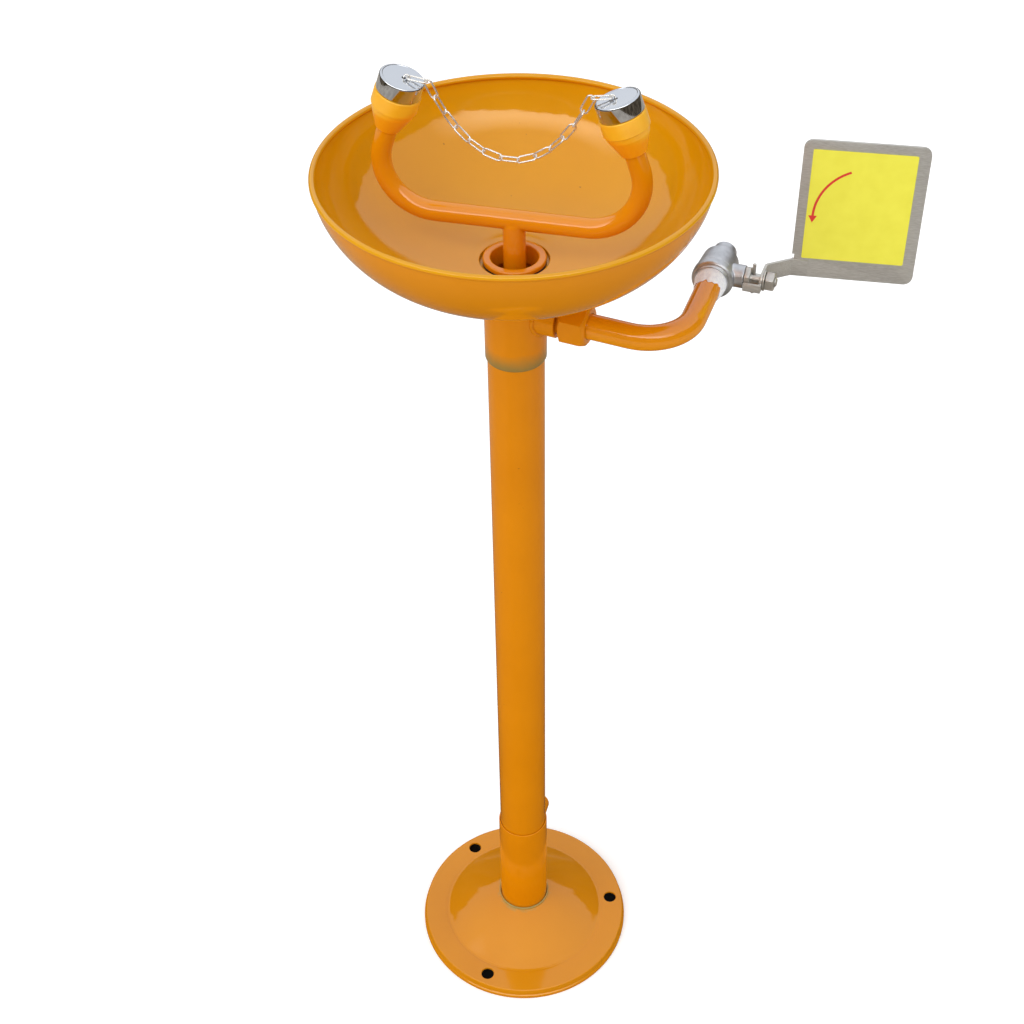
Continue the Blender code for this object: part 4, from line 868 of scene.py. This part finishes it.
# %% Coupling and weld
COUPLING_R = 13.6 * MM
COUPLING_BORE = 10.3 * MM
WELD_R = COUPLING_R + 0.3 * MM
FULL_PHASE = 6.28
coupling_end = span("inlet_coupling", ARM)[1].x
coupling = sleeve("inlet_stub", COUPLING_R, COUPLING_BORE, 0.0, coupling_end, 0.7, 96)
set_down(coupling, ARM @ ALONG_X)
combine(coupling, rod(COLLAR_R + GAP, 0, 900 * MM, 128))
sign_off(coupling, STAND_COAT, ["inlet_coupling"])

weld = add_primitive(
    "torus", "weld_bead", major_segments=96, minor_segments=16, major_radius=WELD_R, minor_radius=1.5 * MM)
ripple = random.Random(4)
phases = [ripple.uniform(0, FULL_PHASE) for _ in range(2)]
for vertex in weld.data.vertices:
    turn = math.atan2(vertex.co.y, vertex.co.x)
    swell = 1 + 0.10 * math.sin(29 * turn + phases[0]) + 0.08 * math.sin(11 * turn + phases[1])
    flat = Vector((math.cos(turn), math.sin(turn), 0)) * WELD_R
    vertex.co = flat + (vertex.co - flat) * swell
    saddle = math.sqrt(COLLAR_R ** 2 - (COUPLING_R * math.sin(turn)) ** 2)
    vertex.co.z += saddle
sign_off(set_down(weld, ARM @ ALONG_X), STAND_COAT, [])

# %% Adapter and supply pipe
def hexagon(name, flats, start, end, face_r, chamfer, ends=(1, 1)):
    """A hexagon along Z between two heights, its chosen ends turned to a chamfer."""
    corner_r = flats / math.sqrt(3)
    piece = add_primitive("cylinder", name, vertices=6, radius=corner_r, depth=end - start)
    middle = Matrix.Translation((0, 0, (start + end) / 2))
    set_down(piece, middle @ Matrix.Rotation(math.radians(30), 4, "Z"))
    reach = corner_r + 0.4 * MM
    shape = [(0, start - MM * (1 - ends[0]))]
    shape += [(face_r, start), (reach, start + chamfer)] if ends[0] else [(reach, start - MM)]
    shape += [(reach, end - chamfer), (face_r, end)] if ends[1] else [(reach, end + MM)]
    shape += [(0, end + MM * (1 - ends[1]))]
    combine(piece, turned("chamfer", shape, loop=False), "INTERSECT")
    apply(piece, "BEVEL", width=0.35 * MM, segments=3, limit_method="ANGLE", angle_limit=math.radians(25))
    return close_up(piece)


def screw_thread(one_turn, foot, length, pitch):
    """Profile rows of a thread: one turn's (radius, share of the pitch) rows, repeated up from a foot."""
    return [(radius, foot + number * pitch + share * pitch)
            for number in range(int(length / pitch)) for radius, share in one_turn]


hex_low, hex_high = span("hex_adapter", ARM)
hex_start = hex_high.x - 20.5 * MM
THREAD_ROOT = 9.2 * MM
THREAD_CREST = 10.0 * MM
WATER_R = 6.5 * MM
PIPE_R = 9.2 * MM
PIPE_FIT = PIPE_R + GAP
PIPE_WALL = 2.2 * MM
PIPE_BEND = 34.8 * MM
PIPE_TURN = math.radians(94)
PIPE_BACK = 55.4 * MM
adapter = hexagon("hexagon_adapter", 29 * MM, hex_start, hex_high.x, 12.7 * MM, 3 * MM)
one_turn = [(THREAD_ROOT, 0), (THREAD_CREST, 0.45), (THREAD_CREST, 0.55)]
thread = [(0, hex_low.x), *screw_thread(one_turn, hex_low.x, hex_start - hex_low.x, 1.0 * MM)]
thread += [(THREAD_ROOT, hex_start - 0.1 * MM), (THREAD_ROOT, hex_start + 2 * MM), (0, hex_start + 2 * MM)]
combine(adapter, turned("thread", thread, 64, loop=False), "UNION")
pipe_stop = hex_high.x - 16 * MM
past_hex = hex_high.x + 9 * MM
combine(adapter, turned("way_through", [
    (0, 0), (WATER_R, 0), (WATER_R, pipe_stop), (PIPE_FIT, pipe_stop), (PIPE_FIT, past_hex), (0, past_hex)],
    64, loop=False))
sign_off(set_down(adapter, ARM @ ALONG_X), STAND_COAT, ["hex_adapter"])

pipe_run = hex_high.x + 29.6 * MM
supply = led_pipe("supply_tube", PIPE_R, (pipe_stop + GAP, 0, 0), (1, 0, 0), [
    pipe_run - pipe_stop - GAP, ((0, 0, 1), PIPE_BEND, PIPE_TURN), PIPE_BACK], 64)
apply(supply, "SOLIDIFY", thickness=PIPE_WALL, offset=-1)
sign_off(set_down(supply, ARM), LIT_COAT, ["supply_pipe"])

# %% [markdown]
# ## Thread tape
# White sealing tape is wound on the pipe before the valve is screwed on, and its loose edge creeps out in
# points. It is a turned sleeve whose front edge is pulled into ragged points with a seeded wave, and a
# slower wave lifts the wraps unevenly.

# %% Thread tape
tape_low, tape_high = span("thread_tape", VALVE)
tape_length = tape_high.y - tape_low.y
TAPE_BORE = PIPE_R + 0.15 * MM
TAPE_R = tape_high.x + 1.5 * MM
TAPE_RINGS = 14
taper = TAPE_R - TAPE_BORE - 0.25 * MM
outer = [(TAPE_R - taper * (1 - i / TAPE_RINGS) ** 2, tape_low.y + tape_length * i / TAPE_RINGS)
         for i in range(TAPE_RINGS + 1)]
tape = turned("ptfe_wrap", outer + [(TAPE_BORE, tape_high.y), (TAPE_BORE, tape_low.y)], 120)
wander = random.Random(11)
waves = [(k, wander.uniform(0.3, 1.0) / k ** 0.35, wander.uniform(0, FULL_PHASE)) for k in (2, 3, 5, 8, 13)]
for vertex in tape.data.vertices:
    turn = math.atan2(vertex.co.y, vertex.co.x)
    ragged = sum(size * math.sin(k * turn + phase) for k, size, phase in waves)
    ahead = (tape_high.y - vertex.co.z) / tape_length
    vertex.co.z += (2.6 * ragged - 1.3) * MM * ahead
    lift = 1 + 0.018 * math.sin(3 * turn + 900 * vertex.co.z) * (1 - ahead)
    if math.hypot(vertex.co.x, vertex.co.y) > TAPE_BORE + 0.1 * MM:
        vertex.co.x, vertex.co.y = vertex.co.x * lift, vertex.co.y * lift
sign_off(set_down(tape, VALVE @ ALONG_Y), PTFE, ["thread_tape"])

# %% [markdown]
# ## Ball valve
# The valve is a small two-piece casting: a barrel with a thick front band, a boss for the stem with a stop
# lug beside it, and a screwed-in end piece. Castings have no sharp edges, so the barrel, boss and lug
# are joined, remeshed in small voxels and smoothed, which rounds them as the mould does. The bores are
# cut last, so they stay true.

# %% Ball valve
body_low, body_high = span("valve_body", VALVE)
FRONT = body_low.y
STEP = body_high.y
FLOW_R = 4.7 * MM
BALL_ROOM = 7.8 * MM
END_SCREW = 9.4 * MM
BOSS_END = 22 * MM
LUG_CLEAR = math.radians(10)
barrel = turned("cast_body", soften([
    *from_mm([(0, -1.6, 0), (12.9, -1.6, 0.6), (13.3, 0.5, 0.4), (14.4, 0.5, 0.4), (15.6, 1.9, 1.0),
              (15.6, 7.0, 0.5), (14.7, 7.4, 0.3), (14.7, 8.4, 0.3), (15.0, 8.8, 0.4)], up=FRONT),
    *from_mm([(13.8, -6.6, 0.9), (10.7, -4.6, 0.6), (10.4, 0, 0.3), (0, 0, 0)], up=STEP)], loop=False),
    loop=False)
set_down(barrel, ALONG_Y)
boss = turned("boss", soften([
    *from_mm([(0, 6, 0), (8.5, 6, 0)]), (8.5 * MM, BOSS_END, 0.6), (0, BOSS_END, 0)], loop=False),
    64, loop=False)
combine(barrel, set_down(boss, ALONG_X), "UNION")
lug_end = body_high.x
lug = turned("lug", [
    *from_mm([(8.3, 10), (10.4, 10)]), (10.4 * MM, lug_end), (9.0 * MM, lug_end),
    *from_mm([(9.0, 0), (8.3, 0)], up=BOSS_END)], 24, angle=math.pi / 2 - 2 * LUG_CLEAR)
set_down(lug, ALONG_X @ Matrix.Rotation(LUG_CLEAR, 4, "Z"))
combine(barrel, lug, "UNION")
melt(barrel, 0.4 * MM, 5)
bores = turned("bores", [
    *from_mm([(0, -3), (11.8, -3), (11.8, 0.3)], up=FRONT), (PIPE_FIT, FRONT + 0.6 * MM),
    (PIPE_FIT, -7.7 * MM), (FLOW_R, -7.7 * MM), (FLOW_R, -6.3 * MM), (BALL_ROOM, -6.3 * MM),
    (BALL_ROOM, 6.1 * MM), (9.7 * MM, 6.1 * MM), (9.7 * MM, STEP + MM), (0, STEP + MM)], 64, loop=False)
combine(barrel, set_down(bores, ALONG_Y))
stem_way = from_mm([(0, 3), (4.3, 3), (4.3, 16.5), (6.1, 16.5), (6.1, 26), (0, 26)])
combine(barrel, set_down(turned("stem_way", stem_way, 48, loop=False), ALONG_X))
sign_off(set_down(barrel, VALVE), CAST, ["valve_body"], angle=40)

end_low, end_high = span("valve_end_piece", VALVE)
end_back = end_high.y
END_R = 9.0 * MM
END_BORE = 8.0 * MM
bore_foot = end_back - 12 * MM
end_piece = turned("screwed_end", soften([
    (FLOW_R, end_low.y, 0), (END_SCREW, end_low.y, 0.2), (END_SCREW, STEP + GAP, 0), (END_R, STEP + GAP, 0.3),
    *from_mm([(0, -2.2, 0.2), (-0.2, -1.8, 0.2), (-0.2, 0, 0.35)], END_R, end_back),
    (END_BORE, end_back, 0.25), (END_BORE, bore_foot, 0.3), (FLOW_R, bore_foot, 0.3)]))
sign_off(set_down(end_piece, VALVE @ ALONG_Y), CAST, ["valve_end_piece"])

# %% [markdown]
# ## Stem, pin and nuts
# The stem comes out through a packing nut, carries a cross pin that meets the stop lug, and ends in a
# thread with a washer and a nut that clamp the handle.

# %% Stem, pin and nuts
def block(name, middle, size, place=Matrix.Identity(4)):
    """A cube pulled to a size, to cut with, to add or to shape further."""
    piece = add_primitive("cube", name, size=1)
    return set_down(piece, place @ Matrix.Translation(middle) @ Matrix.Diagonal((*size, 1)))


stem_end = span("valve_stem", VALVE)[1].x
STEM_R = 4.0 * MM
STEM_FIT = STEM_R + GAP
TIP_R = 3.4 * MM
TIP_ROOT = 3.0 * MM
TIP_FIT = 3.7 * MM
PIN_X = 28.2 * MM
PIN_R = 1.25 * MM
shoulder = 33.5 * MM
one_turn = [(TIP_R, 0), (TIP_ROOT, 0.35), (TIP_ROOT, 0.55), (TIP_R, 0.9)]
tip_length = stem_end - shoulder - 1.2 * MM
stem = turned("turned_stem", [
    (0, 7.5 * MM), (STEM_R, 7.5 * MM), (STEM_R, shoulder - 0.4 * MM), (3.7 * MM, shoulder),
    (TIP_R, shoulder + 0.2 * MM), *screw_thread(one_turn, shoulder + 0.5 * MM, tip_length, 0.8 * MM),
    (3.3 * MM, stem_end - 0.6 * MM), (2.6 * MM, stem_end), (0, stem_end)], 48, loop=False)
tang = block("tang", (6.8 * MM, 0, 0), (4.0 * MM, 2.4 * MM, 5.6 * MM))
combine(set_down(stem, ALONG_X), tang, "UNION")
at_pin = Matrix.Translation((PIN_X, 0, 0))
combine(stem, set_down(rod(PIN_R + GAP, -8 * MM, 8 * MM, 32), at_pin))
sign_off(set_down(stem, VALVE), MACHINED, ["valve_stem"], "handle")

pin_low, pin_high = span("stop_pin", VALVE)
pin = turned("cross_pin", soften([
    (0, pin_low.z, 0), (PIN_R, pin_low.z, 0.5), (PIN_R, pin_high.z, 0.5), (0, pin_high.z, 0)], loop=False),
    32, loop=False)
sign_off(set_down(pin, VALVE @ at_pin), MACHINED, ["stop_pin"], "handle")

gland_low, gland_high = span("gland_nut", VALVE)
gland = hexagon("packing_nut", 15 * MM, BOSS_END + GAP, gland_high.x, 7.1 * MM, 0.8 * MM, (0, 1))
combine(gland, rod(5.8 * MM, gland_low.x, BOSS_END + 2 * MM), "UNION")
combine(gland, rod(STEM_FIT, 0, 40 * MM))
sign_off(set_down(gland, VALVE @ ALONG_X), MACHINED, ["gland_nut"])

washer_low, washer_high = span("handle_washer", VALVE)
washer_r = washer_high.y
washer = turned("flat_washer", soften([
    (TIP_FIT, washer_low.x, 0.15), (washer_r, washer_low.x, 0.25),
    (washer_r, washer_high.x, 0.4), (TIP_FIT, washer_high.x, 0.2)]), 64)
sign_off(set_down(washer, VALVE @ ALONG_X), MACHINED, ["handle_washer"], "handle")

nut_low, nut_high = span("handle_nut", VALVE)
nut = hexagon("clamp_nut", 13 * MM, nut_low.x, nut_high.x, 6.1 * MM, 0.9 * MM)
combine(nut, rod(TIP_FIT, 0, 60 * MM))
sign_off(set_down(nut, VALVE @ ALONG_X), MACHINED, ["handle_nut"], "handle")

# %% [markdown]
# ## Push handle
# The handle is one piece of 2 mm sheet: a tab on the stem, a strip that bends twice, and a square plate
# that leans back a little. A lip is folded back from the tab, beside the stem. The strip is a line of
# vertices, extruded upwards and given its thickness. The plate is a flat block with bevelled corners.
# They are joined, a relief slot is cut beside the bend, and all edges are broken with a small bevel.

# %% Push plate
SHEET_T = 2 * MM
label_faces = NODES["handle_label"].data.polygons
front = max((face for face in label_faces if face.normal.y < 0), key=lambda face: face.area).normal.copy()
PLATE_X = UP.cross(front).normalized()
PLATE_Y = front.cross(PLATE_X)
plate_turn = frame_at(Vector(), PLATE_X, PLATE_Y, front)
flat_corners = np.array([plate_turn.inverted() @ Vector(co) for co in corners_of("push_handle")])
label_low, label_high = span("handle_label", plate_turn)
face_z = label_low.z - GAP
mid_sheet = face_z - SHEET_T / 2
on_plate = flat_corners[abs(flat_corners[:, 2] - face_z) < 0.2 * MM]
on_plate = on_plate[on_plate[:, 0] > label_low.x - 7 * MM]
plate_low = Vector((on_plate[:, 0].min(), on_plate[:, 1].min(), face_z - SHEET_T))
plate_high = Vector((on_plate[:, 0].max(), on_plate[:, 1].max(), face_z))
plate_middle = (plate_low + plate_high) / 2
INSIDE_BOX = Vector((0.05, 0.05, 0)) * MM
print("plate", in_mm(plate_high - plate_low), "mm")


def round_edges(piece, test, width, steps):
    """Bevel the edges whose two ends pass a test."""
    ends = [vertex.co.copy() for vertex in piece.data.vertices]
    pick(piece, lambda edge: test(*[ends[i] for i in edge.vertices]), "EDGE")
    bpy.ops.mesh.bevel(offset=width, segments=steps, affect="EDGES")
    bpy.ops.object.mode_set(mode="OBJECT")


def is_plate_corner(a, b):
    """True for the upright edges of the plate, but not for the one where the strip joins it."""
    return abs(a.z - b.z) > MM and (a.x > plate_middle.x or a.y > plate_middle.y)


plate = block("push_plate", plate_middle, plate_high - plate_low - INSIDE_BOX)
round_edges(plate, is_plate_corner, 6.5 * MM, 10)
set_down(plate, plate_turn)

# %% Handle strip
STRIP_H = 13.5 * MM
STRIP_BEND_MM = 3.5
STRIP_END = 12 * MM
TAB_FRONT = -7.5 * MM
fold = VALVE.inverted() @ (plate_turn @ Vector((plate_low.x, plate_low.y, mid_sheet)))
tab_x = shoulder + GAP + SHEET_T / 2
plate_way = (VALVE.to_3x3().inverted() @ PLATE_X).normalized()
line = soften([
    (tab_x, TAB_FRONT, 0), (tab_x, 11 * MM, STRIP_BEND_MM), (fold.x, fold.y, STRIP_BEND_MM),
    (fold.x + plate_way.x * STRIP_END, fold.y + plate_way.y * STRIP_END, 0)], steps=8, loop=False)
strip = drawn_line("strip", [(x, y, -STRIP_H / 2) for x, y in line])
bpy.ops.mesh.extrude_region_move(TRANSFORM_OT_translate={"value": (0, 0, STRIP_H)})
bpy.ops.object.mode_set(mode="OBJECT")
apply(strip, "SOLIDIFY", thickness=SHEET_T, offset=0)
close_up(strip)
front_y = min(vertex.co.y for vertex in strip.data.vertices)
round_edges(
    strip, lambda a, b: max(a.y, b.y) < front_y + 0.05 * MM and abs(a.z - b.z) < 0.01 * MM, 5.7 * MM, 10)
combine(strip, set_down(rod(TIP_FIT, tab_x - 4 * MM, tab_x + 4 * MM), ALONG_X))
LIP = {
    (tab_x, -7.9 * MM, -1.9 * MM): (1.98 * MM, 6.0 * MM, 6.2 * MM),
    (28.9 * MM, -9.9 * MM, -1.9 * MM): (12.4 * MM, 2.0 * MM, 6.2 * MM)}
for middle, size in LIP.items():
    combine(strip, block("lip", middle, size), "UNION")
combine(plate, set_down(strip, VALVE), "UNION")
slot_middle = Vector((plate_low.x - 1.2 * MM, plate_low.y + STRIP_H + 2 * MM, mid_sheet))
combine(plate, block("slot", slot_middle, (5.6 * MM, 4 * MM, 8 * MM), plate_turn))
apply(plate, "BEVEL", width=0.3 * MM, segments=2, limit_method="ANGLE", angle_limit=math.radians(50))
sign_off(close_up(plate), SHEET, ["push_handle"], "handle")

# %% [markdown]
# ## Plate film
# A yellow film covers most of the plate. It carries one plain curved arrow in red, which shows the way the
# plate is pushed. The arrow is a thin layer of ink of its own, so it moves with the plate and exports as
# geometry.

# %% Plate film
label_size = label_high - label_low
film = block("vinyl_film", (label_low + label_high) / 2, label_size)
round_edges(film, lambda a, b: abs(a.z - b.z) > 0.1 * MM, 1.2 * MM, 6)
sign_off(set_down(film, plate_turn), FILM, ["handle_label"], "handle")

ARROW_R = 0.516 * label_size.x
ARROW_W = 1.7 * MM
ARROW_T = 0.06 * MM
ARROW_TURN = math.radians(68)
arrow_middle = Vector((
    label_low.x + 0.58 * label_size.x, label_low.y + 0.40 * label_size.y, label_high.z - 0.02 * MM))
arrow_in, arrow_out = ARROW_R - ARROW_W / 2, ARROW_R + ARROW_W / 2
arrow = turned("red_arrow", [
    (arrow_in, 0), (arrow_out, 0), (arrow_out, ARROW_T), (arrow_in, ARROW_T)], 40, angle=ARROW_TURN)
point = add_primitive("cylinder", "arrow_point", vertices=3, radius=3.6 * MM, depth=ARROW_T)
arrow_end = Matrix.Rotation(ARROW_TURN, 4, "Z") @ Matrix.Translation((ARROW_R, 1.6 * MM, ARROW_T / 2))
combine(arrow, set_down(point, arrow_end), "UNION")
arrow_turn = Matrix.Rotation(math.pi - ARROW_TURN, 4, "Z")
set_down(arrow, plate_turn @ Matrix.Translation(arrow_middle) @ arrow_turn)
sign_off(arrow, INK, [], "handle")

# %% [markdown]
# ## Pieces kept from the CAD
# Some pieces are hidden inside the others, and their CAD shape is already right: the plate that closes the
# socket, the gasket, the parts under the caps and the inside of the valve. They only get a finish.

# %% Kept pieces
KEPT = {
    "socket_end_plate": STAND_COAT, "drain_gasket": RUBBER, "spray_plate_left": HEAD_PLASTIC,
    "spray_plate_right": HEAD_PLASTIC, "flow_regulator_left": PTFE, "flow_regulator_right": PTFE,
    "valve_seat_front": PTFE, "valve_seat_back": PTFE, "stem_packing": PTFE, "valve_ball": CHROME,
}
for node, material in KEPT.items():
    NODES[node].material_slots[0].material = material
print("kept", sorted(KEPT))

# %% [markdown]
# ## Floor
# The photograph's ground is plain white, so the floor is pale and glows a little, but only for rays that
# look straight at it or by way of gloss, and it keeps the station's shadow. A dark disc lies under the
# flange, where the real ground is in shade, and makes the bolt holes black.

# %% Floor
FLOOR_GLOW = 0.25


def stage_card(card, material, glossy_only):
    """Mark an object as stage and paint it; a card for reflections is seen only by glossy rays."""
    card.data.materials.append(material)
    if glossy_only:
        card.visible_camera = card.visible_diffuse = card.visible_shadow = card.visible_transmission = False


def seen_directly(tree):
    """1 for rays from the camera, off gloss or through glass, and 0 for soft light."""
    rays = add_node(tree, "LightPath").node.outputs
    seen = add_node(tree, "Math", {0: rays["Is Camera Ray"], 1: rays["Is Glossy Ray"]}, operation="MAXIMUM")
    return add_node(tree, "Math", {0: seen, 1: rays["Is Transmission Ray"]}, operation="MAXIMUM")


floor_paint, tree, shader, place = new_finish(
    "pale_matt_floor", Roughness=0.9, Specular_IOR_Level=0.1, Emission_Color=(1, 1, 1, 1))
cloud = add_node(tree, "TexNoise", {"Vector": place, "Scale": 1 / 0.6, "Detail": 2.0})
lay_on(tree, shader, add_node(tree, "ValToRGB", {"Fac": cloud}, stops=[(0.3, "F4F4F4"), (0.7, "F8F8F8")]))
glow = add_node(tree, "Math", {0: seen_directly(tree), 1: FLOOR_GLOW}, operation="MULTIPLY")
tree.links.new(glow, shader.inputs["Emission Strength"])
floor = add_primitive("plane", "pale_floor", size=40, location=(0, 0, -0.5 * MM))
stage_card(floor, floor_paint, False)

# The disc's dark finish is a painted shadow: the ground under the flange is in shade.
painted_shadow_finish, tree, shader, place = new_finish("dark_ground", Roughness=0.95)
grit = add_node(tree, "TexNoise", {"Vector": place, "Scale": 1 / (2 * MM), "Detail": 2.0})
lay_on(tree, shader, add_node(tree, "ValToRGB", {"Fac": grit}, stops=[(0.3, "151310"), (0.7, "211E1A")]))
under_flange = add_primitive(
    "circle", "dark_ground_under_flange", vertices=96, radius=99.6 * MM, fill_type="NGON",
    location=(0, 0, -0.2 * MM))
stage_card(under_flange, painted_shadow_finish, False)
print("floor", floor.name, under_flange.name)

# %% [markdown]
# ## Reflections
# Gloss needs something to reflect, so cards stand round the scene, as in a studio, and only glossy rays see
# them: a dark, ragged hedge at the horizon, a brown ground under it, darker near the station as a painted
# shadow, and a bright stretch of low sky in front. The bowl then mirrors the pale sky in its floor and the
# hedge in its steep wall, the column stays deep in colour, and the low sky draws a pale line along the top of
# the yoke and the pipe.

# %% Reflection cards
DULL = {"Roughness": 1.0, "Specular_IOR_Level": 0.0, "Base_Color": (0, 0, 0, 1)}
YARD_R = 5.0
HEDGE_H = 4.0


def card_finish(name, light, dark, patch, painted_shadow_near=None):
    """A dull card that glows by itself, mottled in patches of a size in metres, with a painted shadow of another
    colour near the middle.
    """
    made, tree, shader, place = new_finish(name, **DULL, Emission_Strength=1.0)
    mottle = add_node(tree, "TexNoise", {"Vector": place, "Scale": 1 / patch, "Detail": 5.0})
    glow = add_node(tree, "ValToRGB", {"Fac": mottle}, stops=[(0.35, dark), (0.65, light)])
    if painted_shadow_near:
        distance = add_node(tree, "VectorMath", {0: place}, "Value", operation="LENGTH")
        far = add_node(tree, "MapRange", {"Value": distance, "From Min": 0.2, "From Max": 1.3})
        glow = add_node(tree, "Mix", {"Factor": far, 6: colour(painted_shadow_near), 7: glow}, 2, data_type="RGBA")
    tree.links.new(glow, shader.inputs["Emission Color"])
    return made


def hedge_top(turn, ragged):
    """Height of the hedge: higher on the viewer's side, with a gap that the right cap mirrors."""
    viewer = 0.5 - 0.5 * math.sin(turn)
    gap = max(0, math.cos(turn - 2.05)) ** 4
    return 2.2 + 1.5 * viewer + 0.2 * max(0, math.cos(turn - 0.8)) + 0.22 * ragged - 0.6 * gap


def ring_card(name, sides, radius, depth, middle_z):
    """An open ring round the scene, its place stored in its mesh."""
    ring = add_primitive(
        "cylinder", name, vertices=sides, radius=radius, depth=depth, end_fill_type="NOTHING")
    return set_down(ring, Matrix.Translation((0, 0, middle_z)))


hedge = ring_card("reflected_hedge", 360, YARD_R, HEDGE_H, HEDGE_H / 2)
stage_card(hedge, card_finish("dark_hedge", "6E6252", "3A3226", 0.5), True)
growth = random.Random(7)
sizes = (2, 3, 5, 8, 13, 21, 34, 55)
bumps = [(k, growth.uniform(0.4, 1.0), growth.uniform(0, FULL_PHASE)) for k in sizes]
for vertex in hedge.data.vertices:
    if vertex.co.z > 1:
        turn = math.atan2(vertex.co.y, vertex.co.x)
        ragged = sum(size * math.sin(k * turn + phase) / k ** 0.25 for k, size, phase in bumps)
        vertex.co.z = hedge_top(turn, ragged)

yard = add_primitive(
    "circle", "reflected_ground", vertices=128, radius=YARD_R, fill_type="NGON", location=(0, 0, -0.1 * MM))
# The dark colour near the middle is the station's painted shadow on the reflected ground.
stage_card(yard, card_finish("pale_ground", "C9C0B2", "A89F92", 0.8, "453E34"), True)

# %% Low sky card
SKY_R = 5.3
SKY_BACK = -1.4
SKY_EXTRA = 3.0
bright, tree, shader, place = new_finish("bright_low_sky", **DULL, Emission_Color=(1.0, 0.97, 0.92, 1.0))
where = add_node(tree, "SeparateXYZ", {"Vector": place}).node.outputs
front = add_node(tree, "MapRange", {"Value": where["Y"], "From Min": -1.5, "From Max": -4.2})
low = add_node(tree, "MapRange", {"Value": where["Z"], "From Min": 7.0, "From Max": 4.6})
both = add_node(tree, "Math", {0: front, 1: low}, operation="MULTIPLY")
glow = add_node(tree, "Math", {0: both, 1: SKY_EXTRA, 2: 1.0}, operation="MULTIPLY_ADD")
tree.links.new(glow, shader.inputs["Emission Strength"])
low_sky = ring_card("reflected_low_sky", 192, SKY_R, 5.0, 4.5)
stage_card(low_sky, bright, True)
pick(low_sky, lambda face: face.center.y > SKY_BACK, "FACE")
bpy.ops.mesh.delete(type="FACE")
bpy.ops.object.mode_set(mode="OBJECT")
print("cards", hedge.name, yard.name, low_sky.name)

# %% [markdown]
# ## Light
# The photograph was taken under an overcast sky. The world gives even light, and two wide suns stand for
# the brighter parts of the sky. Gloss doesn't see the suns, because an overcast sky has no bright spots.

# %% Sky and suns
SKY_LIGHT = 0.66
world = bpy.data.worlds.new("overcast_sky")
bpy.context.scene.world = world
world.use_nodes = True
tree = world.node_tree
sky = tree.nodes["Background"]
strength = add_node(tree, "MapRange", {"Value": seen_directly(tree), "To Min": SKY_LIGHT, "To Max": 1.0})
sky.inputs["Color"].default_value = (0.97, 0.985, 1.0, 1.0)
tree.links.new(strength, sky.inputs["Strength"])

SUN_WIDTH = math.radians(60)
SUNS = {"bright_sky_front": ((-0.40, -0.85, 0.85), 1.40), "bright_sky_right": ((0.8, 0.1, 0.75), 0.40)}
for name, (way, power) in SUNS.items():
    bpy.ops.object.light_add(type="SUN", location=Vector(way) * 3)
    lamp = bpy.context.object
    lamp.name = name
    lamp.rotation_euler = Vector(way).to_track_quat("Z", "Y").to_euler()
    lamp.data.energy = power
    lamp.data.angle = SUN_WIDTH
    lamp.visible_glossy = False
bpy.context.scene.view_settings.view_transform = "Standard"
print("suns", sorted(SUNS))

# %% Clear the selection
deselect()
